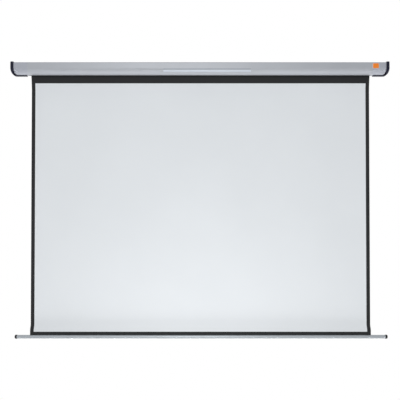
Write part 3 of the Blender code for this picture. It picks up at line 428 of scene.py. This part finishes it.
def drawnAluminium(name, look):
    # Anodised extrusion: die lines along X in colour, gloss and height, bare metal at worn edges.
    material, tree, shader, place = startMaterial(name, {"Metallic": look["metallic"]})
    lines = effect(tree, dieLines, {"Place": place, "Lines per metre": look["lines"]})
    colour = blendColours(tree, lines["Tone"], look["deep"], look["colour"])
    colour = layOver(tree, colour, wornOn(tree, place, look), look["wearShare"], look["bare"])
    rough = span(tree, lines["Line"], *noiseRange, *look["roughness"])
    feed(tree, shader, colour, rough, height=lines["Line"], bump=look["bump"])
    return material


zincLook = {
    "pale": (0.56, 0.57, 0.59), "dark": (0.40, 0.41, 0.44), "blue": (0.42, 0.45, 0.52), "blueShare": 0.4,
    "bare": (0.7, 0.7, 0.7), "spangle": 160.0, "roughness": (0.26, 0.48), "metallic": 0.95,
    "grains": 1800.0, "patches": 30.0, "bump": (0.00005, 0.4),
    "wearWidth": 0.0006, "breaks": 120.0, "wearShare": 0.4,
}


def zincPlate(name, look):
    # Cells of slightly different grey, with a bluish passivated tint in patches.
    material, tree, shader, place = startMaterial(name, {"Metallic": look["metallic"]})
    cells = put(tree, "ShaderNodeTexVoronoi", {"Vector": place, "Scale": look["spangle"]}, feature="F1")
    shade = put(tree, "ShaderNodeSeparateColor", {0: cells.outputs["Color"]}).outputs[0]
    grain = grainOn(tree, place, look)
    colour = blendColours(tree, shade, look["dark"], look["pale"])
    colour = layOver(tree, colour, grain["Tone"], look["blueShare"], look["blue"])
    colour = layOver(tree, colour, wornOn(tree, place, look), look["wearShare"], look["bare"])
    rough = span(tree, shade, 0.0, 1.0, *look["roughness"])
    feed(tree, shader, colour, rough, height=grain["Grain"], bump=look["bump"])
    return material


machinedLook = {
    "bare": (0.75, 0.74, 0.72), "wearWidth": 0.0003, "breaks": 400.0, "wearShare": 0.5,
    "bump": (0.00003, 0.4),
}
motorLook = {
    **machinedLook, "pale": (0.52, 0.53, 0.55), "dark": (0.40, 0.41, 0.43),
    "roughness": (0.25, 0.42), "metallic": 0.9,
}
gearLook = {
    **machinedLook, "pale": (0.50, 0.50, 0.50), "dark": (0.34, 0.34, 0.35),
    "roughness": (0.2, 0.36), "metallic": 1.0,
}
bronzeLook = {
    **machinedLook, "pale": (0.58, 0.40, 0.17), "dark": (0.40, 0.25, 0.09),
    "roughness": (0.34, 0.5), "metallic": 1.0,
}
coreLook = {
    **machinedLook, "pale": (0.30, 0.30, 0.31), "dark": (0.17, 0.17, 0.18),
    "roughness": (0.38, 0.55), "metallic": 0.85,
}


def machinedMetal(name, look):
    # Tool rings in height and gloss, over a slow change of tone.
    material, tree, shader, place = startMaterial(name, {"Metallic": look["metallic"]})
    rings = effect(tree, latheMarks, {"Place": place})
    colour = blendColours(tree, rings["Tone"], look["dark"], look["pale"])
    colour = layOver(tree, colour, wornOn(tree, place, look), look["wearShare"], look["bare"])
    rough = span(tree, rings["Ring"], *noiseRange, *look["roughness"])
    feed(tree, shader, colour, rough, height=rings["Ring"], bump=look["bump"])
    return material


casePaint = silverPaint("casePaint", silverLook)
coverPaint = silverPaint("coverPaint", coverLook)
trimPlastic = moulding("trimPlastic", trimLook)
blackMoulding = moulding("blackMoulding", blackLook)
capPlastic = moulding("capPlastic", capLook)
nylonMoulding = moulding("nylonMoulding", nylonLook)
softRubber = moulding("softRubber", rubberLook)
inlayStrip = inlayMetal("inlayStrip", inlayLook)
barMetal = drawnAluminium("barMetal", barLook)
tubeMetal = drawnAluminium("tubeMetal", tubeLook)
zinc = zincPlate("zincPlate", zincLook)
motorSteel = machinedMetal("motorSteel", motorLook)
gearSteel = machinedMetal("gearSteel", gearLook)
sinteredBronze = machinedMetal("sinteredBronze", bronzeLook)
coreLaminations = machinedMetal("coreLaminations", coreLook)

nodeMaterials = (
    (casePaint, ["case_profile"]),
    (inlayStrip, ["front_inlay"]),
    (coverPaint, ["end_cover_left", "end_cover_right"]),
    (trimPlastic, ["end_bumper_left", "end_bumper_right"]),
    (zinc, ["wall_bracket_left", "wall_bracket_right", "end_plate_left", "end_plate_right"]),
    (blackMoulding, ["connection_box", "connection_box_lid", "motor_head", "limit_crown", "idler_plug"]),
    (nylonMoulding, ["terminal_block", "limit_screw_up", "limit_screw_down", "motor_capacitor", "drive_wheel",
                     "fabric_spline"]),
    (softRubber, ["motor_lead", "cable_grommet"]),
    (motorSteel, ["motor_casing", "output_carrier", "hem_rod"]),
    (coreLaminations, ["motor_core", "ring_gear"]),
    (gearSteel, ["sun_gear", "planet_gear_1", "planet_gear_2", "planet_gear_3", "idler_pin"]),
    (sinteredBronze, ["output_bush", "idler_bush"]),
    (tubeMetal, ["roller_tube"]),
    (barMetal, ["bottom_bar"]),
    (capPlastic, ["bar_cap_left", "bar_cap_right"]),
)
for material, names in nodeMaterials:
    for name in names:
        for slot in nodes[name].material_slots:
            slot.material = material
print("materials on", sum(len(names) for _, names in nodeMaterials), "nodes")


# The picture sheet

sheet = {
    "thickness": 0.00045, "drawIn": 0.0038, "drawTop": 0.13, "drawEnd": 0.040, "flatEnd": 0.022,
    "borderSide": 0.0212, "pictureTop": -0.0794, "pictureBottom": -1.5190, "printBlur": 0.0002,
    "ripple": 0.0006, "rippleLength": 0.46, "rippleFade": (0.25, 0.3), "sway": 0.22, "swayLength": 1.3,
    "rows": 150, "columns": 120, "firstRows": (0.01, 0.02), "endRows": 14,
    "white": (0.865, 0.887, 0.905), "whiteDeep": (0.845, 0.867, 0.885), "black": (0.018, 0.0185, 0.0195),
    "backing": (0.022, 0.022, 0.023), "printRoughness": (0.62, 0.88), "backRoughness": (0.6, 0.75),
    "grains": 800.0, "patches": 2.2, "threads": 1250.0, "threadShare": 0.4, "bump": (0.00006, 0.35),
    "specular": 0.22, "sheen": 0.04, "sheenRoughness": 0.5,
}
sheetLow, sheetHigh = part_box("screen_fabric")
sheetHalf = (sheetHigh.x - sheetLow.x) / 2
sheetMiddle = Vector(((sheetHigh.x + sheetLow.x) / 2, (sheetHigh.y + sheetLow.y) / 2, 0))


def sheetSurface():
    # Height down the sheet by share across it. Each free side edge is drawn in by a raised cosine at both
    # ends, and the cloth ripples by a sine along X, which fades out towards its top and its bottom.
    high, low = sheetHigh.z, sheetLow.z
    height = high + (low - high) * np.linspace(0, 1, sheet["rows"])
    ends = [high - drop for drop in (*sheet["firstRows"], sheet["drawTop"])]
    near = np.linspace(low, low + sheet["drawEnd"] + sheet["flatEnd"], sheet["endRows"])
    height = np.unique(np.concatenate([height, ends, near]))[::-1]
    across = np.linspace(-1, 1, sheet["columns"])
    topShare = np.clip((high - height) / sheet["drawTop"], 0, 1)
    start = low + sheet["flatEnd"] + sheet["drawEnd"]
    endShare = np.clip((start - height) / sheet["drawEnd"], 0, 1)
    kept = (0.5 + 0.5 * np.cos(np.pi * topShare)) + (0.5 - 0.5 * np.cos(np.pi * endShare))
    half = sheetHalf - sheet["drawIn"] * (1 - kept)
    x = sheetMiddle.x + half[:, None] * across[None, :]
    z = np.repeat(height[:, None], len(across), axis=1)
    fadeTop, fadeEnd = sheet["rippleFade"]
    fade = np.clip(-height / fadeTop, 0, 1) * np.clip((height - low) / fadeEnd, 0, 1)
    fade = fade * fade * (3 - 2 * fade)
    phase = x / sheet["rippleLength"] + sheet["sway"] * np.sin(2 * np.pi * z / sheet["swayLength"])
    y = sheetMiddle.y + sheet["ripple"] * np.sin(2 * np.pi * phase) * fade[:, None]
    placeAcross = np.repeat((across + 1)[None, :], len(height), axis=0) * sheetHalf
    place = np.stack([placeAcross, z - low], axis=-1)
    front = np.stack([x, y - sheet["thickness"] / 2, z], axis=-1)
    back = np.stack([x, y + sheet["thickness"] / 2, z], axis=-1)
    return front, back, place


def insidePrint(tree, cloth):
    # 1 inside the border's four lines and 0 outside: the product of one narrow slope at each line.
    parts = put(tree, "ShaderNodeSeparateXYZ", {0: cloth}).outputs
    blur = sheet["printBlur"]
    fromMiddle = sums(tree, "ABSOLUTE", sums(tree, "SUBTRACT", parts["X"], sheetHalf))
    sideLine = sheetHalf - sheet["borderSide"]
    topLine = sheet["pictureTop"] - sheetLow.z
    endLine = sheet["pictureBottom"] - sheetLow.z
    side = span(tree, fromMiddle, sideLine + blur, sideLine - blur)
    inside = sums(tree, "MULTIPLY", side, span(tree, parts["Y"], endLine - blur, endLine + blur))
    return sums(tree, "MULTIPLY", inside, span(tree, parts["Y"], topLine + blur, topLine - blur))


def clothMaterial(name, printed):
    # Embossed cloth over a fine weave. Printed, it is white inside the border and black outside. Otherwise it
    # is black all over.
    constants = {"Specular IOR Level": sheet["specular"], "Sheen Weight": sheet["sheen"],
                 "Sheen Roughness": sheet["sheenRoughness"]}
    material, tree, shader, place = startMaterial(name, constants)
    cloth = put(tree, "ShaderNodeUVMap", uv_map="clothPlace").outputs[0]
    grain = grainOn(tree, cloth, sheet)
    thread = effect(tree, clothWeave, {"Place": cloth, "Threads per metre": sheet["threads"]})["Thread"]
    if printed:
        inside = insidePrint(tree, cloth)
        white = blendColours(tree, grain["Tone"], sheet["whiteDeep"], sheet["white"])
        colour = blendColours(tree, inside, sheet["black"], white)
        rough = span(tree, inside, 0.0, 1.0, *sheet["printRoughness"])
    else:
        colour = blendColours(tree, grain["Tone"], sheet["backing"], sheet["black"])
        rough = span(tree, grain["Grain"], *noiseRange, *sheet["backRoughness"])
    height = sums(tree, "MULTIPLY_ADD", thread, sheet["threadShare"], grain["Grain"])
    feed(tree, shader, colour, rough, height=height, bump=sheet["bump"])
    return material


pictureCloth = clothMaterial("pictureCloth", True)
blackCloth = clothMaterial("blackCloth", False)
pictureSheet = clothShell("picture_sheet", *sheetSurface())
pictureSheet.data.materials.append(pictureCloth)
pictureSheet.data.materials.append(blackCloth)


def bentCloth(name, path, low, high, columns, thickness):
    # A line of (y, z) points drawn out along X, moved half the thickness to each side along its own normal.
    step = np.gradient(path, axis=0)
    normal = np.stack([step[:, 1], -step[:, 0]], axis=-1) / np.linalg.norm(step, axis=1)[:, None]
    run = np.concatenate([[0], np.cumsum(np.linalg.norm(np.diff(path, axis=0), axis=1))])
    x = np.linspace(low, high, columns)
    grids = []
    for hand in (1, -1):
        line = path + normal * hand * thickness / 2
        grid = np.empty((len(path), columns, 3))
        grid[..., 0] = x[None, :]
        grid[..., 1:] = line[:, None, :]
        grids.append(grid)
    place = np.stack(np.broadcast_arrays(x[None, :] - low, run[:, None]), axis=-1)
    piece = clothShell(name, grids[0], grids[1], place, backSlot=0)
    piece.data.materials.append(blackCloth)
    return piece, run[-1]


hem = {"radius": 0.00355, "spread": 0.00026, "points": 90, "legPoints": 12, "columns": 60, "eased": 2}
barLow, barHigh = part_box("bottom_bar")
hemLow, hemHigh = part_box("fabric_hem")
rodLow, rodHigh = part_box("hem_rod")


def hemPath():
    # Down from the sheet's lower edge, round the rod on a circle, and up again. Averaging each point with its
    # neighbours eases the joins.
    middle = np.array([(rodLow.y + rodHigh.y) / 2, (rodLow.z + rodHigh.z) / 2])
    lean = math.asin(hem["spread"] / hem["radius"])
    rise = sheetLow.z - middle[1]
    foot = hem["radius"] * math.cos(lean)
    angle = np.linspace(math.pi / 2 + lean, math.pi / 2 + 2 * math.pi - lean, hem["points"])
    ring = hem["radius"] * np.stack([np.cos(angle), np.sin(angle)], axis=-1)
    leg = np.linspace(rise, foot, hem["legPoints"])[:-1]
    down = np.stack([np.full(len(leg), -hem["spread"]), leg], axis=-1)
    up = np.stack([np.full(len(leg), hem["spread"]), leg[::-1]], axis=-1)
    path = np.concatenate([down, ring, up])
    for _ in range(hem["eased"]):
        path[1:-1] = (path[:-2] + 2 * path[1:-1] + path[2:]) / 4
    return path + middle


hemLoop, _ = bentCloth("hem_loop", hemPath(), hemLow.x, hemHigh.x, hem["columns"], sheet["thickness"])

# Wound tight, the cloth is pressed a little thinner, and its turns lie just inside the hanging sheet.
wound = {
    "inner": 0.02530, "outer": 0.02635, "halfTurns": 5, "thickness": 0.00040, "points": 300, "columns": 40,
}
tubeLow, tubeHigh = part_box("roller_tube")
woundLow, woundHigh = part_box("fabric_wound")


def woundPath():
    # A spiral round the roller: the angle grows and the radius shrinks evenly, from where the sheet leaves at
    # the back, over the top and inwards to the groove.
    axis = np.array([(tubeLow.y + tubeHigh.y) / 2, (tubeLow.z + tubeHigh.z) / 2])
    share = np.linspace(0, 1, wound["points"])
    radius = wound["outer"] + (wound["inner"] - wound["outer"]) * share
    angle = math.pi * wound["halfTurns"] * share
    return axis + radius[:, None] * np.stack([np.cos(angle), np.sin(angle)], axis=-1)


woundTurns, woundRun = bentCloth("wound_turns", woundPath(), woundLow.x, woundHigh.x, wound["columns"],
                                 wound["thickness"])
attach(pictureSheet, "housing")
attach(woundTurns, "roller")
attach(hemLoop, "bar")
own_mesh(pictureSheet)
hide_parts("screen_fabric")
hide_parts("fabric_wound")
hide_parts("fabric_hem")
print("picture sheet made")


# Screws: places are (y, z) on the face that carries them

screwShape = {
    "rings": 12, "angles": 40, "innerShare": 0.04, "fall": 0.45,
    "crossWidth": 0.16, "crossReach": 0.62, "crossDepth": 0.55, "widthEase": 0.05, "reachEase": 0.08,
}
plateScrews = {"radius": 0.0026, "height": 0.0016,
               "places": [(-0.0785, 0.02875), (-0.018, 0.02875), (-0.07388, -0.01368), (-0.0055, -0.02875)]}
trimScrews = {"radius": 0.0034, "height": 0.0009, "places": [(-0.064, 0.021), (-0.022, 0.021)]}
lidScrews = {"radius": 0.0017, "height": 0.0009, "inset": 0.004}
headScrews = {"radius": 0.0022, "height": 0.0012, "middle": -0.041, "across": 0.016, "up": 0.019}
capScrews = {"radius": 0.0021, "height": 0.0006}


def screwHead(centre, direction, radius, height):
    # Rings and angles: a low dome that falls as the fourth power of the radius, less a cross whose arms
    # narrow towards their ends, then a straight side down to a flat underside.
    share = np.linspace(screwShape["innerShare"], 1, screwShape["rings"])
    angle = np.linspace(0, 2 * np.pi, screwShape["angles"], endpoint=False)
    r, a = np.meshgrid(share, angle, indexing="ij")
    u, v = r * np.cos(a), r * np.sin(a)
    arm = np.minimum(np.abs(u), np.abs(v))
    cross = np.clip((screwShape["crossWidth"] - arm) / screwShape["widthEase"], 0, 1)
    cross = cross * np.clip((screwShape["crossReach"] - r) / screwShape["reachEase"], 0, 1)
    rise = height * (1 - screwShape["fall"] * r**4) - height * screwShape["crossDepth"] * cross
    rings = np.stack([u * radius, v * radius, rise], axis=-1)
    base = rings[-1:].copy()
    base[..., 2] = 0
    rings = np.concatenate([rings, base])
    w = np.array(direction, float)
    side = np.cross(w, (0, 0, 1) if abs(w[2]) < 0.5 else (1, 0, 0))
    other = np.cross(w, side)
    return np.array(centre) + rings @ np.stack([side, other, w])


def screwSet(name, body, size, faces, places, material):
    # One mesh of heads alike: one at each (y, z) place of each face, which is its X and the way it looks.
    vertices, quadParts, fanParts, count = [], [], [], 0
    for x, side in faces:
        for y, z in places:
            points, quads, fans = lidded(screwHead((x, y, z), (side, 0, 0), size["radius"], size["height"]))
            vertices.append(points)
            quadParts.append(quads + count)
            fanParts.append(fans + count)
            count += len(points)
    piece = meshPiece(name, np.concatenate(vertices), [np.concatenate(quadParts), np.concatenate(fanParts)])
    piece.data.materials.append(material)
    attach(piece, body)


def fourCorners(lowY, highY, lowZ, highZ):
    # The four (y, z) corners of an oblong.
    return [(y, z) for y in (lowY, highY) for z in (lowZ, highZ)]


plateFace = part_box("end_plate_right")[1].x
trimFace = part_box("end_bumper_right")[1].x
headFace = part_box("motor_head")[0].x
lidLow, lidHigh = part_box("connection_box_lid")
capFaces = [(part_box("bar_cap_left")[0].x, -1), (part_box("bar_cap_right")[1].x, 1)]
barCentre = ((barLow.y + barHigh.y) / 2, (barLow.z + barHigh.z) / 2)
lidInset = lidScrews["inset"]
lidPlaces = fourCorners(lidLow.y + lidInset, lidHigh.y - lidInset, lidLow.z + lidInset, lidHigh.z - lidInset)
headMiddle, headAcross, headUp = headScrews["middle"], headScrews["across"], headScrews["up"]
headPlaces = fourCorners(headMiddle - headAcross, headMiddle + headAcross, -headUp, headUp)
screwSet("plate_screws", "housing", plateScrews, [(-plateFace, -1), (plateFace, 1)], plateScrews["places"],
         zinc)
screwSet("trim_screws", "housing", trimScrews, [(-trimFace, -1), (trimFace, 1)], trimScrews["places"],
         blackMoulding)
screwSet("lid_screws", "housing", lidScrews, [(lidLow.x, -1)], lidPlaces, zinc)
screwSet("head_screws", "housing", headScrews, [(headFace, -1)], headPlaces, zinc)
screwSet("cap_screws", "bar", capScrews, capFaces, [barCentre], blackMoulding)
print("screws made")


# The bare plate on the right cover: shares are of the way from its middle to its rim

plate = {
    "left": 0.9945, "right": 1.0315, "low": -0.0020, "high": 0.0285, "thickness": 0.0009, "corner": 7.0,
    "angles": 72, "innerShare": 0.08, "flatShare": 0.86, "flatRings": 10,
    "edgeShares": (0.9, 0.93, 0.96, 0.985, 1.0), "fall": 14, "lip": 0.25, "lipRise": 0.05, "lipFall": 0.03,
    "rim": 0.93, "rimBlur": 0.01,
    "enamel": (1.0, 0.255, 0.007), "enamelDeep": (0.99, 0.235, 0.006), "metal": (0.62, 0.63, 0.65),
    "grains": 2500.0, "patches": 60.0, "roughness": (0.3, 0.42), "bump": (0.00003, 0.3),
    "coat": 0.05, "coatRoughness": 0.2, "specular": 0.4,
}


def plateRings():
    # Growing rounded oblongs, whose corners come from a power of the sine and cosine: nearly flat from the
    # middle out, a slight lip, then a quick fall to the cover's face.
    inner = np.linspace(plate["innerShare"], plate["flatShare"], plate["flatRings"])
    scale = np.concatenate([inner, plate["edgeShares"]])
    angle = np.linspace(0, 2 * np.pi, plate["angles"], endpoint=False)
    power = 2 / plate["corner"]
    u = np.sign(np.cos(angle)) * np.abs(np.cos(angle)) ** power
    v = np.sign(np.sin(angle)) * np.abs(np.sin(angle)) ** power
    middle = ((plate["left"] + plate["right"]) / 2, (plate["low"] + plate["high"]) / 2)
    half = ((plate["right"] - plate["left"]) / 2, (plate["high"] - plate["low"]) / 2)
    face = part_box("end_cover_right")[0].y
    rise = plate["thickness"] * np.sqrt(np.clip(1 - scale ** plate["fall"], 0, 1))
    lip = np.clip((scale - plate["flatShare"]) / plate["lipRise"], 0, 1)
    lip = plate["lip"] * plate["thickness"] * lip * np.clip((1 - scale) / plate["lipFall"], 0, 1)
    y = face - rise - lip
    x = middle[0] + half[0] * scale[:, None] * u[None, :]
    z = middle[1] + half[1] * scale[:, None] * v[None, :]
    rings = np.stack([x, np.repeat(y[:, None], len(angle), axis=1), z], axis=-1)
    rim = np.concatenate([np.repeat(scale, len(angle)), [0.0, 1.0]])
    return rings, rim


def plateMaterial():
    # Enamel inside a metal rim, told apart by the plate's own "rim" value.
    constants = {"Coat Weight": plate["coat"], "Coat Roughness": plate["coatRoughness"],
                 "Specular IOR Level": plate["specular"]}
    material, tree, shader, place = startMaterial("plateEnamel", constants)
    rim = put(tree, "ShaderNodeAttribute", attribute_name="rim").outputs["Fac"]
    share = span(tree, rim, plate["rim"] - plate["rimBlur"], plate["rim"] + plate["rimBlur"])
    grain = grainOn(tree, place, plate)
    enamel = blendColours(tree, grain["Tone"], plate["enamelDeep"], plate["enamel"])
    colour = blendColours(tree, share, enamel, plate["metal"])
    rough = span(tree, grain["Grain"], *noiseRange, *plate["roughness"])
    feed(tree, shader, colour, rough, metallic=share, height=grain["Grain"], bump=plate["bump"])
    return material


rings, rim = plateRings()
vertices, quads, fans = lidded(rings)
barePlate = meshPiece("bare_plate", vertices, [quads, fans], rim=rim)
barePlate.data.materials.append(plateMaterial())
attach(barePlate, "housing")
print("plate made")


# Floor, light and camera

floor = {
    "height": -2.75, "middle": (0.0, -3.05), "half": (7.0, 4.95), "squares": (14, 10),
    "colour": (0.80, 0.80, 0.80), "deepShare": 0.985, "glow": 0.6, "fade": (0.70, 0.97),
    "grains": 60.0, "patches": 0.7, "roughness": 0.9, "specular": 0.1,
}


def floorMaterial():
    # Pale paint. To the camera it is partly glow, and goes over to the backdrop's white with the distance
    # from its middle, as a share of its own size. Reflections see it white. It is clear from underneath.
    constants = {"Roughness": floor["roughness"], "Specular IOR Level": floor["specular"]}
    material, tree, shader, place = startMaterial("floorPaint", constants)
    grain = grainOn(tree, place, floor)
    deep = tuple(floor["deepShare"] * part for part in floor["colour"])
    feed(tree, shader, blendColours(tree, grain["Tone"], deep, floor["colour"]))
    path = put(tree, "ShaderNodeLightPath").outputs
    mirrored = sums(tree, "MAXIMUM", path["Is Glossy Ray"], path["Is Transmission Ray"])
    placed = put(tree, "ShaderNodeVectorMath", {0: place, 1: (*floor["middle"], 0.0)}, operation="SUBTRACT")
    scale = (1 / floor["half"][0], 1 / floor["half"][1], 0.0)
    scaled = put(tree, "ShaderNodeVectorMath", {0: placed.outputs[0], 1: scale}, operation="MULTIPLY")
    away = put(tree, "ShaderNodeVectorMath", {0: scaled.outputs[0]}, operation="LENGTH").outputs["Value"]
    glow = span(tree, away, *floor["fade"], floor["glow"], 1.0, smooth=True)
    seen = sums(tree, "MAXIMUM", mirrored, sums(tree, "MULTIPLY", path["Is Camera Ray"], glow))
    white = put(tree, "ShaderNodeEmission", {"Strength": 1.0})
    mixed = put(tree, "ShaderNodeMixShader", {0: seen, 1: shader.outputs[0], 2: white.outputs[0]})
    under = put(tree, "ShaderNodeNewGeometry").outputs["Backfacing"]
    under = sums(tree, "MULTIPLY", under, path["Is Camera Ray"])
    clear = put(tree, "ShaderNodeBsdfTransparent")
    mixed = put(tree, "ShaderNodeMixShader", {0: under, 1: mixed.outputs[0], 2: clear.outputs[0]})
    output = next(node for node in tree.nodes if node.type == "OUTPUT_MATERIAL")
    tree.links.new(mixed.outputs[0], output.inputs["Surface"])
    return material


def floorPiece():
    # A flat grid well under the bar: its middle plus its half size times shares from -1 to 1.
    shares = [np.linspace(-1, 1, squares + 1) for squares in floor["squares"]]
    u, v = np.meshgrid(*shares, indexing="ij")
    x = floor["middle"][0] + floor["half"][0] * u
    y = floor["middle"][1] + floor["half"][1] * v
    points = np.stack([x, y, np.full(x.shape, floor["height"])], axis=-1)
    facingUp = gridFaces(np.arange(x.size).reshape(x.shape))[:, ::-1]
    mesh = bpy.data.meshes.new("floor")
    mesh.from_pydata(points.reshape(-1, 3).tolist(), [], facingUp.tolist())
    piece = bpy.data.objects.new("floor", mesh)
    bpy.context.scene.collection.objects.link(piece)
    mesh.materials.append(floorMaterial())


studio = {"ambient": 0.68, "ambientColour": (0.96, 0.98, 1.0)}


def studioWorld():
    # White for what the camera and reflections see, softer for the light that falls on the object.
    world = bpy.data.worlds.new("studio")
    world.use_nodes = True
    tree = world.node_tree
    tree.nodes.clear()
    path = put(tree, "ShaderNodeLightPath").outputs
    seen = sums(tree, "MAXIMUM", path["Is Camera Ray"], path["Is Glossy Ray"])
    seen = sums(tree, "MAXIMUM", seen, path["Is Transmission Ray"])
    soft = put(tree, "ShaderNodeBackground", {"Color": (*studio["ambientColour"], 1.0),
                                              "Strength": studio["ambient"]})
    white = put(tree, "ShaderNodeBackground", {"Color": (1.0, 1.0, 1.0, 1.0), "Strength": 1.0})
    mixed = put(tree, "ShaderNodeMixShader", {0: seen, 1: soft.outputs[0], 2: white.outputs[0]})
    put(tree, "ShaderNodeOutputWorld", {"Surface": mixed.outputs[0]})
    bpy.context.scene.world = world


lamps = {
    "key": {"place": (-0.32, -4.6, 0.65), "aim": (0.0, 0.0, -0.3), "size": (0.9, 0.6), "power": 28.0,
            "spread": 180.0, "mirrored": True},
    "fill": {"place": (0.0, -1.2, -1.6), "aim": (0.0, 0.0, -1.2), "size": (0.45, 0.3), "power": 2.6,
             "spread": 180.0, "mirrored": True},
    "under": {"place": (0.0, -0.09, -2.7), "aim": (0.0, -0.07, 0.0), "size": (2.9, 0.16), "power": 32.0,
              "spread": 120.0, "mirrored": False},
}


def hangLamp(name, lamp):
    # A soft rectangle turned to its aim. Spread narrows its beam, and mirrored lets gloss show it.
    light = bpy.data.lights.new(name, "AREA")
    light.shape = "RECTANGLE"
    light.size, light.size_y = lamp["size"]
    light.energy = lamp["power"]
    light.spread = math.radians(lamp["spread"])
    thing = bpy.data.objects.new(name, light)
    bpy.context.scene.collection.objects.link(thing)
    thing.location = lamp["place"]
    thing.rotation_euler = (Vector(lamp["aim"]) - thing.location).to_track_quat("-Z", "Y").to_euler()
    thing.visible_camera = False
    thing.visible_glossy = lamp["mirrored"]


view = {"place": (0.0004, -6.3, -0.9041), "pitch": 1.80, "lens": 97.6, "sensor": 36.0, "shiftUp": -0.0222}


def setCamera():
    # In front of the sheet at about mid height, level but for a slight upward pitch in degrees.
    camera = bpy.data.cameras.new("view")
    camera.sensor_width = view["sensor"]
    camera.lens = view["lens"]
    camera.shift_y = view["shiftUp"]
    thing = bpy.data.objects.new("view", camera)
    bpy.context.scene.collection.objects.link(thing)
    thing.location = view["place"]
    thing.rotation_euler = (math.radians(90 + view["pitch"]), 0, 0)
    bpy.context.scene.camera = thing


floorPiece()
studioWorld()
for lampName, lamp in lamps.items():
    hangLamp(lampName, lamp)
setCamera()
bpy.context.scene.view_settings.view_transform = "Standard"
print("studio ready")
